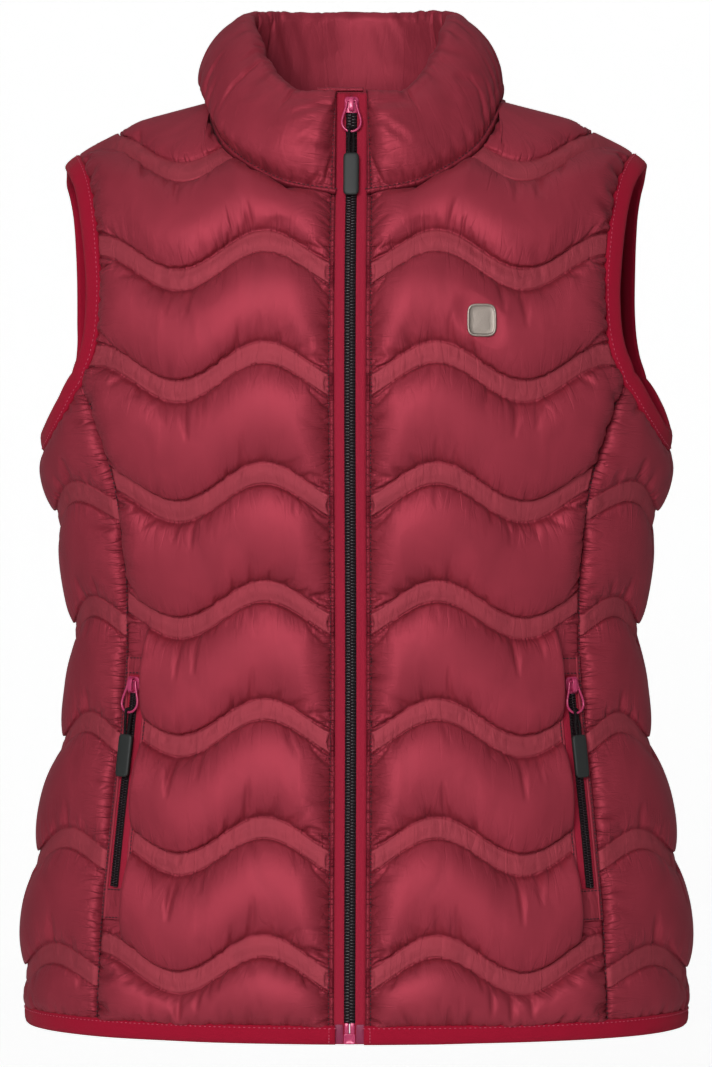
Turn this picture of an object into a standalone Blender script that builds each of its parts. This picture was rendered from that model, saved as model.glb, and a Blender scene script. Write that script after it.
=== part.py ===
"""Quilted waistcoat with a stand collar, an open-ended zip and two zipped side pockets.

Metres, +Z up, front towards -Y, the wearer's left at +X. The origin is the middle of the neck,
level with the high points of the shoulders. Every cloth piece is a closed wall: its inner points
lie on one smooth body surface, and its outer points are raised from them by the quilting.
"""

import math

import bmesh
import bpy
import numpy as np
from mathutils import Matrix, Vector
from mathutils.bvhtree import BVHTree

# ---------------------------------------------------------------- body surface

# One row for each level: height, half width, front depth, back depth
BODY_SECTIONS = (
    (-0.640, 0.2280, 0.128, 0.121),
    (-0.612, 0.2265, 0.127, 0.121),
    (-0.577, 0.2250, 0.124, 0.119),
    (-0.543, 0.2215, 0.120, 0.115),
    (-0.506, 0.2150, 0.115, 0.109),
    (-0.464, 0.2065, 0.110, 0.102),
    (-0.433, 0.1985, 0.107, 0.098),
    (-0.400, 0.1930, 0.105, 0.095),
    (-0.372, 0.1915, 0.105, 0.094),
    (-0.340, 0.1935, 0.107, 0.094),
    (-0.300, 0.2000, 0.113, 0.097),
    (-0.272, 0.2065, 0.117, 0.100),
    (-0.235, 0.2150, 0.121, 0.103),
    (-0.200, 0.2195, 0.123, 0.106),
    (-0.150, 0.2215, 0.120, 0.107),
    (-0.100, 0.2195, 0.110, 0.103),
    (-0.070, 0.2160, 0.0975, 0.097),
    (-0.050, 0.2090, 0.086, 0.091),
    (-0.0335, 0.1925, 0.075, 0.084),
    (-0.021, 0.1700, 0.064, 0.076),
    (-0.0106, 0.1435, 0.054, 0.068),
    (0.001, 0.1030, 0.043, 0.057),
)
ROUNDNESS = 2.15            # exponent of the oval sections

# Side edge of the front panel: height, half width (princess seam, then armhole seam)
FRONT_EDGE = (
    (-0.640, 0.1725),
    (-0.565, 0.1695),
    (-0.514, 0.1655),
    (-0.467, 0.1610),
    (-0.424, 0.1565),
    (-0.369, 0.1530),
    (-0.335, 0.1530),
    (-0.298, 0.1555),
    (-0.265, 0.1600),
    (-0.232, 0.1685),
    (-0.210, 0.1760),
    (-0.1915, 0.1825),
    (-0.172, 0.1755),
    (-0.153, 0.1720),
    (-0.130, 0.1710),
    (-0.100, 0.1730),
    (-0.0735, 0.1765),
    (-0.055, 0.1808),
    (-0.044, 0.1855),
    (-0.0335, 0.1925),
)

# Side edge of the back panel: height, half width (back seam, then armhole seam)
BACK_EDGE = (
    (-0.640, 0.1925),
    (-0.565, 0.1895),
    (-0.514, 0.1840),
    (-0.467, 0.1765),
    (-0.424, 0.1695),
    (-0.369, 0.1645),
    (-0.335, 0.1645),
    (-0.298, 0.1685),
    (-0.265, 0.1760),
    (-0.232, 0.1860),
    (-0.1915, 0.1950),
    (-0.172, 0.1895),
    (-0.153, 0.1860),
    (-0.130, 0.1845),
    (-0.100, 0.1848),
    (-0.070, 0.1860),
    (-0.050, 0.1885),
    (-0.0335, 0.1925),
)
PANEL_CORNER = -0.1915      # height where princess seam, back seam and armhole meet
ARMHOLE_DIP = 0.0435        # the side panel's top edge is this much lower in its middle

# Neck seam: half width, height
FRONT_NECK = (
    (0.0000, -0.0690),
    (0.0420, -0.0620),
    (0.0600, -0.0540),
    (0.0780, -0.0425),
    (0.0885, -0.0325),
    (0.0965, -0.0185),
    (0.1005, -0.0080),
    (0.1030, 0.0010),
)
BACK_NECK = (
    (0.0000, -0.0050),
    (0.0400, -0.0048),
    (0.0700, -0.0038),
    (0.0950, -0.0018),
    (0.1030, 0.0010),
)
NECK_HALF_WIDTH = 0.103
NECK_TOP = 0.001
SHOULDER_END = -0.0335
FRONT_NECK_SHARE = 0.52     # share of the front panel's width that ends at the neck
BACK_NECK_SHARE = 0.54
FAN_FROM = -0.170           # above this level the columns fan out to the neck and shoulder

# ---------------------------------------------------------------- quilting

WALL = 0.003                # cloth and filling at a stitched line
PUFF = 0.0115               # rise of a full puff over the stitched level
SIDE_PUFF = 0.0078
STRIP_HEIGHTS = (-0.0370, -0.1115, -0.1862, -0.2665, -0.3459, -0.4264, -0.5058, -0.5843)
STRIP_WIDTH = 0.0138        # flat strip between two stitched lines
WAVE_LENGTH = 0.115
WAVE_RISE = 0.0128          # half of a wave's height on the front and back
SIDE_FIRST_STRIP = 3        # the side panels start with this strip, counted from 0
SIDE_DROP = 0.0085          # strips lie lower on the side panels
SIDE_RISE = 0.0100
SIDE_WAVE = 0.62            # wavelength as a share of the side panel's width
FULL_PUFF_LENGTH = 0.045    # shorter puffs rise less
SEAM_SOFTNESS = 0.020       # puffs fall away over this distance to a seam
SHOULDER_THIN_FROM = -0.060     # over this height the shoulders' filling grows thinner
SHOULDER_THIN_OVER = 0.035
SHOULDER_FILLING = 0.45         # share of the rise that is left on top of them
PUFF_STEPS = (0.15, 0.50, 0.85)
LEAST_ROW = 0.0012

# ---------------------------------------------------------------- seams and trims

SEAM_GAP = 0.0003
PANEL_GAP = 0.0005          # between panels, whose rows don't meet at the same points
HEM_SEAM = -0.6252
HEM_BINDING = 0.0112
ARM_BINDING = 0.0120
ARM_STATION_GAP = 0.0035    # stations of a binding closer together than this are left out
HEM_STATION_GAP = 0.0020
# Section of a binding: share of its width away from the seam, height over the inner surface
BINDING_OUTLINE = (
    (0.00, -0.0004),
    (0.00, 0.0034),
    (0.35, 0.0042),
    (0.92, 0.0040),
    (1.00, 0.0015),
    (0.92, -0.0006),
)

COLLAR_LEVELS = (0.0, 0.10, 0.25, 0.42, 0.60, 0.77, 0.90, 0.97, 1.0)
COLLAR_GAP = 0.0005
COLLAR_PUFF = 0.0105        # half of the collar's filling
COLLAR_TOP_WIDTH = 0.0665
COLLAR_TOP_FRONT = 0.088
COLLAR_TOP_BACK = 0.046
COLLAR_BULGE = 0.035
COLLAR_EDGE_SOFTNESS = 0.040
COLLAR_RISE = 0.05          # the collar leaves the body square to it up to this share of its height
COLLAR_TURN = 0.30          # and turns level over this share
# Ridge of the collar: angle round the neck from the front in degrees, height
COLLAR_RIDGE = (
    (0.0, 0.0045),
    (29.0, 0.0056),
    (40.0, 0.0135),
    (52.6, 0.0260),
    (68.0, 0.0430),
    (90.0, 0.0600),
    (130.0, 0.0705),
    (180.0, 0.0745),
)

# ---------------------------------------------------------------- centre zip

ZIP_EDGE = 0.0104           # half of the opening between the front edges
TAPE_THICKNESS = 0.0012
CHAIN_HALF = 0.0040
CHAIN_THICKNESS = 0.0026
ZIP_TOP = 0.0042
ZIP_BOTTOM = -0.6360
CHAIN_TOP = -0.0068
CHAIN_BOTTOM = -0.6218
BOX_TOP = -0.6289
BOX_HALF = 0.0040
BOX_THICKNESS = 0.0042
PIN_HALF = 0.0036
PIN_THICKNESS = 0.0030

GARAGE_REACH = 0.0235       # towards the wearer's right from the middle of the zip
GARAGE_END = 0.0078
GARAGE_STATIONS = 6
GARAGE_GAP = 0.0006         # over the collar's top edge
# Section of the folded patch: distance behind the collar's ridge, height
GARAGE_OUTLINE = (
    (-0.0030, 0.0000),
    (-0.0036, 0.0009),
    (-0.0028, 0.0021),
    (0.0010, 0.0026),
    (0.0038, 0.0018),
    (0.0040, 0.0000),
)

SLIDER_HALF = 0.0048
SLIDER_LENGTH = 0.0112
SLIDER_PLATE = 0.0014
SLIDER_ROOT = 0.0004        # the bridge and post reach this far into the plate
SLIDER_POST = 0.0022        # joins the slider's plates above the end of the chain
POST_HALF = 0.0038
SLIDER_TOP = 0.0012         # top of the centre slider
BRIDGE_HALF = 0.0017
BRIDGE_LENGTH = 0.0100
BRIDGE_RISE = 0.0042
BRIDGE_WALL = 0.0011
BRIDGE_FOOT = 0.0021        # lower leg of the bridge
BRIDGE_CORNER = 0.0010

PULL_WIRE = 0.0008          # radius
PULL_LENGTH = 0.0215
PULL_TOP_HALF = 0.0032
PULL_NECK = 0.0060          # the loop stays narrow down to here, to pass the bridge
PULL_NECK_HALF = 0.0036
PULL_BOTTOM_HALF = 0.0064
PULL_PLAY = 0.0005          # between the top bar and the bridge
WIRE_SIDES = 6
CORD_HALF = 0.0030
CORD_THICKNESS = 0.0022
CORD_LENGTH = 0.0140
GRIP_HALF = 0.0053
GRIP_LENGTH = 0.0290
GRIP_THICKNESS = 0.0034
# Sections of the cord and tab: distance below the tab's top, half width, half thickness
GRIP_SECTIONS = (
    (-CORD_LENGTH, CORD_HALF, CORD_THICKNESS / 2),
    (0.0, CORD_HALF, CORD_THICKNESS / 2),
    (0.0004, GRIP_HALF - 0.0006, GRIP_THICKNESS / 2),
    (0.0016, GRIP_HALF, GRIP_THICKNESS / 2),
    (GRIP_LENGTH - 0.0022, GRIP_HALF, GRIP_THICKNESS / 2),
    (GRIP_LENGTH - 0.0006, GRIP_HALF - 0.0008, GRIP_THICKNESS / 2),
    (GRIP_LENGTH, GRIP_HALF - 0.0022, GRIP_THICKNESS / 2 - 0.0006),
)
GRIP_CORNER = 0.0008
PULL_REACH = PULL_LENGTH + CORD_LENGTH + GRIP_LENGTH
PULL_CLEARANCE = 0.0020     # between a resting grip and the line of the chain

# ---------------------------------------------------------------- pockets and badge

POCKET_TOP = -0.3785
POCKET_BOTTOM = -0.5570
POCKET_OUTER = 0.0012       # from the princess seam
POCKET_WIDTH = 0.0140
POCKET_LIP = 0.0024
POCKET_TOP_PATCH = 0.0130
POCKET_BOTTOM_PATCH = 0.0215
POCKET_FLAT_ABOVE = 0.026   # the panel stays flat this far over the pocket
POCKET_FLAT_BELOW = 0.012   # and under it
POCKET_FLAT_WIDTH = 0.0235  # and this far round from the seam
POCKET_FLAT_SOFTNESS = 0.002
POCKET_ROWS = 12
WELT_THICKNESS = 0.0013
POCKET_GAP = 0.00045
POCKET_TAPE_THICKNESS = 0.0008
POCKET_CHAIN_HALF = 0.0027
POCKET_CHAIN_THICKNESS = 0.0019
POCKET_CHAIN_CORNER = 0.0006
POCKET_SLIDER_DROP = 0.0065     # slider's middle below the top patch

BADGE_PLACE = (0.0881, -0.1522)
BADGE_HALF_WIDTH = 0.0098
BADGE_HALF_HEIGHT = 0.0110
BADGE_THICKNESS = 0.0018
BADGE_RIM = 0.0012
BADGE_SINK = 0.0005
BADGE_SIDES = 16

CLOTH_RED = (0.205, 0.022, 0.038)
BINDING_RED = (0.330, 0.006, 0.030)
TAPE_RED = (0.290, 0.012, 0.030)
TEETH_DARK = (0.020, 0.008, 0.012)
PULL_PINK = (0.520, 0.035, 0.150)
GRIP_GREY = (0.030, 0.033, 0.032)
BADGE_PEWTER = (0.320, 0.270, 0.235)


# ---------------------------------------------------------------- smooth tables

def smooth_curve(places, values, at):
    """Smooth curve through a table without overshoot, held level past its ends."""
    places = np.asarray(places, float)
    values = np.asarray(values, float)
    steps = np.diff(places)
    slopes = np.diff(values) / steps
    tangents = np.zeros_like(values)
    tangents[0] = slopes[0]
    tangents[-1] = slopes[-1]
    rising = slopes[:-1] * slopes[1:] > 0
    before = 2 * steps[1:] + steps[:-1]
    after = steps[1:] + 2 * steps[:-1]
    low = np.where(rising, slopes[:-1], 1.0)
    high = np.where(rising, slopes[1:], 1.0)
    tangents[1:-1] = np.where(rising, (before + after) / (before / low + after / high), 0.0)
    at = np.clip(at, places[0], places[-1])
    i = np.clip(np.searchsorted(places, at) - 1, 0, len(steps) - 1)
    t = (at - places[i]) / steps[i]
    return ((1 + 2 * t) * (1 - t) ** 2 * values[i] + t * (1 - t) ** 2 * steps[i] * tangents[i]
            + t * t * (3 - 2 * t) * values[i + 1] - t * t * (1 - t) * steps[i] * tangents[i + 1])


def column(table, name):
    return [row[name] for row in table]


HEIGHT, HALF_WIDTH, FRONT_DEPTH, BACK_DEPTH = range(4)


def body_size(height, name):
    return smooth_curve(column(BODY_SECTIONS, HEIGHT), column(BODY_SECTIONS, name), height)


def edge_width(table, height):
    return smooth_curve(column(table, 0), column(table, 1), height)


def smooth_step(share):
    share = np.clip(share, 0.0, 1.0)
    return share * share * (3 - 2 * share)


def body_point(x, height, behind):
    """Point of the body surface at a given x and height, in front or behind."""
    depth = body_size(height, BACK_DEPTH if behind else FRONT_DEPTH)
    across = np.clip(np.abs(x) / body_size(height, HALF_WIDTH), 0.0, 1.0)
    y = depth * (1 - across ** ROUNDNESS) ** (1 / ROUNDNESS)
    return np.stack(np.broadcast_arrays(x, y if behind else -y, height), axis=-1)


def ring_point(angle, height):
    """Point of the body surface at an angle round the body, 0 in front and pi behind."""
    power = 2 / ROUNDNESS
    depth = np.where(np.cos(angle) > 0, body_size(height, FRONT_DEPTH), body_size(height, BACK_DEPTH))
    x = body_size(height, HALF_WIDTH) * np.abs(np.sin(angle)) ** power
    y = -np.sign(np.cos(angle)) * depth * np.abs(np.cos(angle)) ** power
    return np.stack(np.broadcast_arrays(x, y, height), axis=-1)


def ring_angle(x, height, behind):
    across = np.clip(np.abs(x) / body_size(height, HALF_WIDTH), 0.0, 1.0)
    angle = np.arcsin(across ** (ROUNDNESS / 2))
    return math.pi - angle if behind else angle


def body_normal(points):
    """Outward normal of the body surface, from the gradient of its oval sections."""
    x, y, z = points[..., 0], points[..., 1], points[..., 2]
    step = 0.001
    width = body_size(z, HALF_WIDTH)
    depth = np.where(y > 0, body_size(z, BACK_DEPTH), body_size(z, FRONT_DEPTH))
    width_slope = (body_size(z + step, HALF_WIDTH) - body_size(z - step, HALF_WIDTH)) / (2 * step)
    front_slope = (body_size(z + step, FRONT_DEPTH) - body_size(z - step, FRONT_DEPTH)) / (2 * step)
    back_slope = (body_size(z + step, BACK_DEPTH) - body_size(z - step, BACK_DEPTH)) / (2 * step)
    depth_slope = np.where(y > 0, back_slope, front_slope)
    n = ROUNDNESS
    along_x = np.abs(x) ** (n - 1) / width ** n * np.sign(x)
    along_y = np.abs(y) ** (n - 1) / depth ** n * np.sign(y)
    along_z = -(np.abs(x) ** n * width_slope / width ** (n + 1)
                + np.abs(y) ** n * depth_slope / depth ** (n + 1))
    normal = np.stack([along_x, along_y, along_z], axis=-1)
    return normal / np.linalg.norm(normal, axis=-1, keepdims=True)


# ---------------------------------------------------------------- quilted panels

# Places of the columns, as shares of a panel's width, or of its shoulder's length
FRONT_NECK_COLUMNS = (0.0, 0.04, 0.12, 0.24, 0.36, 0.46)
BACK_NECK_COLUMNS = (0.0, 0.16, 0.32, 0.45)
SHOULDER_COLUMNS = (0.0, 0.23, 0.48, 0.77, 0.90, 1.0)
SIDE_COLUMNS = (0.0, 0.10, 0.25, 0.42, 0.58, 0.75, 0.90, 1.0)

FINE_STEPS = 260


def climb(tops):
    """Heights of fine paths from the hem seam to each top, closer together near the top."""
    t = np.linspace(0.0, 1.0, FINE_STEPS)
    return HEM_SEAM + (tops[:, None] - HEM_SEAM) * (1 - (1 - t[None, :]) ** 2)


def top_edge(shares, neck, neck_share, centre_x, behind):
    """Where each column of a front or back panel ends: x and height on the neck or shoulder."""
    t = np.linspace(0.0, 1.0, 400)
    x = centre_x + (NECK_HALF_WIDTH - centre_x) * (1 - (1 - t) ** 2)
    z = smooth_curve(column(neck, 0), column(neck, 1), x)
    line = body_point(x, z, behind)
    run = np.concatenate([[0.0], np.cumsum(np.linalg.norm(np.diff(line, axis=0), axis=1))])
    neck_x = np.interp(np.clip(shares / neck_share, 0, 1), run / run[-1], x)
    heights = np.linspace(NECK_TOP, SHOULDER_END, 400)
    widths = body_size(heights, HALF_WIDTH)
    shoulder_share = np.clip((shares - neck_share) / (1 - neck_share), 0, 1)
    shoulder_x = NECK_HALF_WIDTH + (widths[-1] - NECK_HALF_WIDTH) * shoulder_share
    on_neck = shares <= neck_share
    top_x = np.where(on_neck, neck_x, shoulder_x)
    neck_z = smooth_curve(column(neck, 0), column(neck, 1), neck_x)
    top_z = np.where(on_neck, neck_z, np.interp(shoulder_x, widths, heights))
    return top_x, top_z


def flat_panel_paths(shares, edge, neck, neck_share, centre_x, behind):
    """Fine paths up a front or back panel, one for each share of its width."""
    top_x, top_z = top_edge(shares, neck, neck_share, centre_x, behind)
    z = climb(top_z)
    straight = centre_x + shares[:, None] * (edge_width(edge, z) - centre_x)
    straight_top = centre_x + shares * (edge_width(edge, top_z) - centre_x)
    fan = smooth_step((z - FAN_FROM) / (top_z[:, None] - FAN_FROM))
    x = straight + fan * (top_x - straight_top)[:, None]
    return body_point(x, z, behind)


def side_panel_paths(shares):
    """Fine paths up a side panel, from its front seam (share 0) to its back seam (share 1)."""
    z = climb(PANEL_CORNER - ARMHOLE_DIP * np.sin(math.pi * shares) ** 1.1)
    front = ring_angle(edge_width(FRONT_EDGE, z), z, False)
    back = ring_angle(edge_width(BACK_EDGE, z), z, True)
    return ring_point(front + (back - front) * shares[:, None], z)


def quilted_grid(paths, wave, strips, puff, pocket=False, seam_at_first=True):
    """Rows and columns of a panel's inner points and the rise of the quilting over each.

    wave is each fine point's height in the pattern, and the strips lie at fixed levels of it.
    puff is the rise of a full puff, and pocket keeps the cloth under the pocket flat.
    """
    runs = np.cumsum(np.linalg.norm(np.diff(paths, axis=1), axis=2), axis=1)
    runs = np.concatenate([np.zeros((len(paths), 1)), runs], axis=1)
    full = runs[:, -1]

    def level_run(level):
        return np.array([np.interp(level, wave[c], runs[c]) for c in range(len(paths))])

    rows = [np.zeros(len(paths))]
    rises = [np.zeros(len(paths))]
    below = rows[0]
    for middle in sorted(strips) + [None]:
        above = full if middle is None else level_run(middle - STRIP_WIDTH / 2)
        length = above - below
        fullness = np.clip(length / FULL_PUFF_LENGTH, 0, 1)
        for t in PUFF_STEPS:
            rows.append(below + t * length)
            rises.append(fullness * (1 - abs(2 * t - 1) ** 2.4) ** 0.6)
        rows.append(above)
        rises.append(np.zeros(len(paths)))
        if middle is not None:
            below = level_run(middle + STRIP_WIDTH / 2)
            rows.append(below)
            rises.append(np.zeros(len(paths)))
    rows = np.array(rows)
    for r in range(len(rows) - 2, 0, -1):
        rows[r] = np.minimum(rows[r], rows[r + 1] - LEAST_ROW)
    corner_run = np.interp(PANEL_CORNER, paths[-1, :, 2], runs[-1])
    if corner_run < full[-1] - SEAM_GAP:
        rows[np.argmin(np.abs(rows[:, -1] - corner_run)), -1] = corner_run
    points = np.empty(rows.shape + (3,))
    for c in range(len(paths)):
        for axis in range(3):
            points[:, c, axis] = np.interp(rows[:, c], runs[c], paths[c, :, axis])

    steps = np.linalg.norm(np.diff(points, axis=1), axis=2)
    from_first = np.concatenate([np.zeros((len(rows), 1)), np.cumsum(steps, axis=1)], axis=1)
    from_last = from_first[:, -1:] - from_first
    if not seam_at_first:
        from_first = from_first + SEAM_SOFTNESS
    if pocket:
        under_top = POCKET_TOP + POCKET_FLAT_ABOVE - points[..., 2]
        over_bottom = points[..., 2] - POCKET_BOTTOM + POCKET_FLAT_BELOW
        inside = smooth_step(under_top / POCKET_FLAT_SOFTNESS)
        inside *= smooth_step(over_bottom / POCKET_FLAT_SOFTNESS)
        from_last = np.maximum(from_last - inside * POCKET_FLAT_WIDTH, 0)
    nearest = np.clip(np.minimum(from_first, from_last) / SEAM_SOFTNESS, 0, 1)
    on_shoulder = smooth_step((points[..., 2] - SHOULDER_THIN_FROM) / SHOULDER_THIN_OVER)
    filling = 1 - (1 - SHOULDER_FILLING) * on_shoulder
    rise = puff * filling * np.array(rises) * np.sqrt(1 - (1 - nearest) ** 2)
    return points, rise


def pull_in(points, first_row, last_row, first_column, last_column):
    """Moves the named edges of a grid inwards by half a panel gap, to open the seams."""
    def towards(edge, neighbour):
        away = neighbour - edge
        return edge + away / np.linalg.norm(away, axis=-1, keepdims=True) * PANEL_GAP / 2

    moved = points.copy()
    if first_column:
        moved[:, 0] = towards(points[:, 0], points[:, 1])
    if last_column:
        moved[:, -1] = towards(points[:, -1], points[:, -2])
    points = moved.copy()
    if first_row:
        moved[0] = towards(points[0], points[1])
    if last_row:
        moved[-1] = towards(points[-1], points[-2])
    return moved


def front_wave(paths):
    return paths[..., 2] + WAVE_RISE * np.cos(2 * math.pi * paths[..., 0] / WAVE_LENGTH)


def mirrored(points):
    return points * np.array([-1.0, 1.0, 1.0])


def front_panel():
    """Inner points and rises of the front panel at +X, from the zip edge to the side edge."""
    shares = np.concatenate([
        FRONT_NECK_COLUMNS,
        FRONT_NECK_SHARE + (1 - FRONT_NECK_SHARE) * np.array(SHOULDER_COLUMNS),
    ])
    paths = flat_panel_paths(shares, FRONT_EDGE, FRONT_NECK, FRONT_NECK_SHARE, ZIP_EDGE, False)
    points, rise = quilted_grid(paths, front_wave(paths), STRIP_HEIGHTS, PUFF, pocket=True)
    points = pull_in(points, False, True, False, True)
    points[:, 0, 0] = ZIP_EDGE
    return points, rise


def back_panel():
    """Inner points and rises of the back, from its seam at +X to its seam at -X."""
    half = np.concatenate([
        BACK_NECK_COLUMNS,
        BACK_NECK_SHARE + (1 - BACK_NECK_SHARE) * np.array(SHOULDER_COLUMNS),
    ])
    paths = flat_panel_paths(half, BACK_EDGE, BACK_NECK, BACK_NECK_SHARE, 0.0, True)
    points, rise = quilted_grid(paths, front_wave(paths), STRIP_HEIGHTS, PUFF, seam_at_first=False)
    points = pull_in(points, False, True, False, True)
    points = np.concatenate([points[:, ::-1], mirrored(points[:, 1:])], axis=1)
    return points, np.concatenate([rise[:, ::-1], rise[:, 1:]], axis=1)


def side_panel():
    """Inner points and rises of the side panel at +X, from its front seam to its back seam."""
    shares = np.array(SIDE_COLUMNS)
    paths = side_panel_paths(shares)
    crest = np.cos(2 * math.pi * (shares - 0.5) / SIDE_WAVE)
    wave = paths[..., 2] + SIDE_DROP + SIDE_RISE * crest[:, None]
    points, rise = quilted_grid(paths, wave, STRIP_HEIGHTS[SIDE_FIRST_STRIP:], SIDE_PUFF)
    return pull_in(points, False, True, True, True), rise


# ---------------------------------------------------------------- mesh helpers

def make_material(name, colour, roughness, metallic=0.0):
    material = bpy.data.materials.new(name)
    material.use_nodes = True
    shader = material.node_tree.nodes["Principled BSDF"]
    shader.inputs["Base Color"].default_value = (*colour, 1.0)
    shader.inputs["Roughness"].default_value = roughness
    shader.inputs["Metallic"].default_value = metallic
    return material


def add_object(name, mesh_points, faces, material, smooth=True):
    """A closed mesh with its faces turned outwards."""
    mesh = bpy.data.meshes.new(name)
    mesh.from_pydata([tuple(p) for p in mesh_points], [], faces)
    shape = bmesh.new()
    shape.from_mesh(mesh)
    bmesh.ops.recalc_face_normals(shape, faces=shape.faces)
    if shape.calc_volume(signed=True) < 0:
        bmesh.ops.reverse_faces(shape, faces=shape.faces)
    shape.to_mesh(mesh)
    shape.free()
    mesh.materials.append(material)
    if smooth:
        mesh.shade_smooth()
        mesh.set_sharp_from_angle(angle=math.radians(50))
    made = bpy.data.objects.new(name, mesh)
    bpy.context.collection.objects.link(made)
    return made


def add_wall(name, inner, outer, material, open_cells=None):
    """Closed wall between two grids of points, with no cloth where open_cells is true."""
    rows, columns = inner.shape[:2]
    filled = np.ones((rows - 1, columns - 1), bool)
    if open_cells is not None:
        filled &= ~open_cells
    number = np.arange(rows * columns).reshape(rows, columns)
    far = number + rows * columns
    faces = []

    def is_filled(r, c):
        return 0 <= r < rows - 1 and 0 <= c < columns - 1 and filled[r, c]

    for r in range(rows - 1):
        for c in range(columns - 1):
            if not filled[r, c]:
                continue
            ring = ((r, c), (r, c + 1), (r + 1, c + 1), (r + 1, c))
            faces.append([far[k] for k in ring])
            faces.append([number[k] for k in ring[::-1]])
            beside = ((r - 1, c), (r, c + 1), (r + 1, c), (r, c - 1))
            for side in range(4):
                if not is_filled(*beside[side]):
                    a, b = ring[side], ring[(side + 1) % 4]
                    faces.append([number[a], number[b], far[b], far[a]])
    points = np.concatenate([inner.reshape(-1, 3), outer.reshape(-1, 3)])
    used = sorted({int(v) for face in faces for v in face})
    renumber = {old: new for new, old in enumerate(used)}
    return add_object(name, points[used], [[renumber[int(v)] for v in f] for f in faces], material)


def add_loft(name, sections, closed, material, smooth=True):
    """Closed body through rings of points, either a closed loop of them or with end faces."""
    count, ring = sections.shape[:2]
    faces = []
    for s in range(count if closed else count - 1):
        here, there = s * ring, (s + 1) % count * ring
        for k in range(ring):
            nxt = (k + 1) % ring
            faces.append([here + k, here + nxt, there + nxt, there + k])
    if not closed:
        faces.append(list(range(ring))[::-1])
        faces.append([(count - 1) * ring + k for k in range(ring)])
    return add_object(name, sections.reshape(-1, 3), faces, material, smooth)


def add_quilt(name, points, rise, material):
    outer = points + body_normal(points) * (WALL + rise)[..., None]
    return add_wall(name, points, outer, material)


# ---------------------------------------------------------------- edges, bindings and collar

def edge_frames(stations, closed, panel_side):
    """Surface normal and the direction away from the panel at each station of an edge."""
    if closed:
        along = np.roll(stations, -1, axis=0) - np.roll(stations, 1, axis=0)
    else:
        along = np.gradient(stations, axis=0)
    along /= np.linalg.norm(along, axis=1, keepdims=True)
    normal = body_normal(stations)
    away = np.cross(along, normal)
    away /= np.linalg.norm(away, axis=1, keepdims=True)
    inwards = np.einsum("ij,ij->i", away, panel_side - stations) > 0
    away[inwards] *= -1
    return normal, away


def binding_sections(stations, normal, away, width):
    """Flat rounded strip beside an edge, with one point for each row of its outline."""
    rings = []
    for share, out in BINDING_OUTLINE:
        rings.append(stations + away * (SEAM_GAP + share * width) + normal * out)
    return np.stack(rings, axis=1)


def armhole_stations(front, side, back):
    """Edge of one armhole, up the front panel, down the back and along the side panel."""
    front_row = int(np.argmin(np.abs(front[:, -1, 2] - PANEL_CORNER)))
    back_row = int(np.argmin(np.abs(back[:, 0, 2] - PANEL_CORNER)))
    up = front[front_row:, -1]
    down = back[back_row:, 0][::-1]
    under = side[-1][::-1]
    corner_front = (up[0] + under[-1]) / 2
    corner_back = (down[-1] + under[0]) / 2
    shoulder = (up[-1] + down[0]) / 2
    loop = np.concatenate([
        [corner_front], up[1:-1], [shoulder], down[1:-1], [corner_back], under[1:-1],
    ])
    inside = np.concatenate([
        [front[front_row - 1, -2]],
        front[front_row + 1:, -2],
        back[back_row + 1:-1, 1][::-1],
        [back[back_row, 1]],
        side[-2][1:-1][::-1],
    ])
    return loop, inside


def thin_out(points, inside, least):
    """Leaves out stations that are closer together than least."""
    keep = [0]
    for k in range(1, len(points)):
        if np.linalg.norm(points[k] - points[keep[-1]]) >= least:
            keep.append(k)
    return points[keep], inside[keep]


def collar_points(neck, inside):
    """Inner and outer grids of the collar, from the neck seam up to its ridge."""
    normal, away = edge_frames(neck, False, inside)
    foot = neck + away * COLLAR_GAP
    foot[[0, -1], 0] = neck[[0, -1], 0]
    angle = np.arctan2(np.abs(neck[:, 0]), -neck[:, 1])
    reach = np.where(neck[:, 1] < 0, COLLAR_TOP_FRONT, COLLAR_TOP_BACK)
    ridge_x = np.sign(neck[:, 0]) * np.maximum(COLLAR_TOP_WIDTH * np.sin(angle), ZIP_EDGE)
    ridge_x[np.abs(neck[:, 0]) < ZIP_EDGE / 2] = 0.0
    ridge_z = smooth_curve(column(COLLAR_RIDGE, 0), column(COLLAR_RIDGE, 1), np.degrees(angle))
    ridge = np.stack([ridge_x, -np.cos(angle) * reach, ridge_z], axis=1)
    runs = np.concatenate([[0.0], np.cumsum(np.linalg.norm(np.diff(neck, axis=0), axis=1))])
    to_edge = np.minimum(runs, runs[-1] - runs)
    fullness = np.sqrt(1 - (1 - np.clip(to_edge / COLLAR_EDGE_SOFTNESS, 0, 1)) ** 2)
    outwards = np.stack([np.sin(angle) * np.sign(neck[:, 0]) * fullness, -np.cos(angle),
                         np.zeros(len(neck))], axis=1)
    outwards /= np.linalg.norm(outwards, axis=1, keepdims=True)
    normal[[0, -1], 0] = 0.0
    inner, outer = [], []
    for level in COLLAR_LEVELS:
        start = foot + normal * WALL / 2
        middle = start + (ridge - start) * level
        middle += outwards * (COLLAR_BULGE * level ** 2 * (1 - level) * fullness)[:, None]
        turn = smooth_step((level - COLLAR_RISE) / COLLAR_TURN)
        across = normal * (1 - turn) + outwards * turn
        across /= np.linalg.norm(across, axis=1, keepdims=True)
        half = WALL / 2 + COLLAR_PUFF * (1 - abs(2 * level - 1) ** 2.6) ** 0.55 * fullness
        inner.append(middle - across * half[:, None])
        outer.append(middle + across * half[:, None])
    inner, outer = np.array(inner), np.array(outer)
    for grid in (inner, outer):
        grid[:, 0, 0] = ZIP_EDGE
        grid[:, -1, 0] = -ZIP_EDGE
    return inner, outer


# ---------------------------------------------------------------- centre zip

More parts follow.
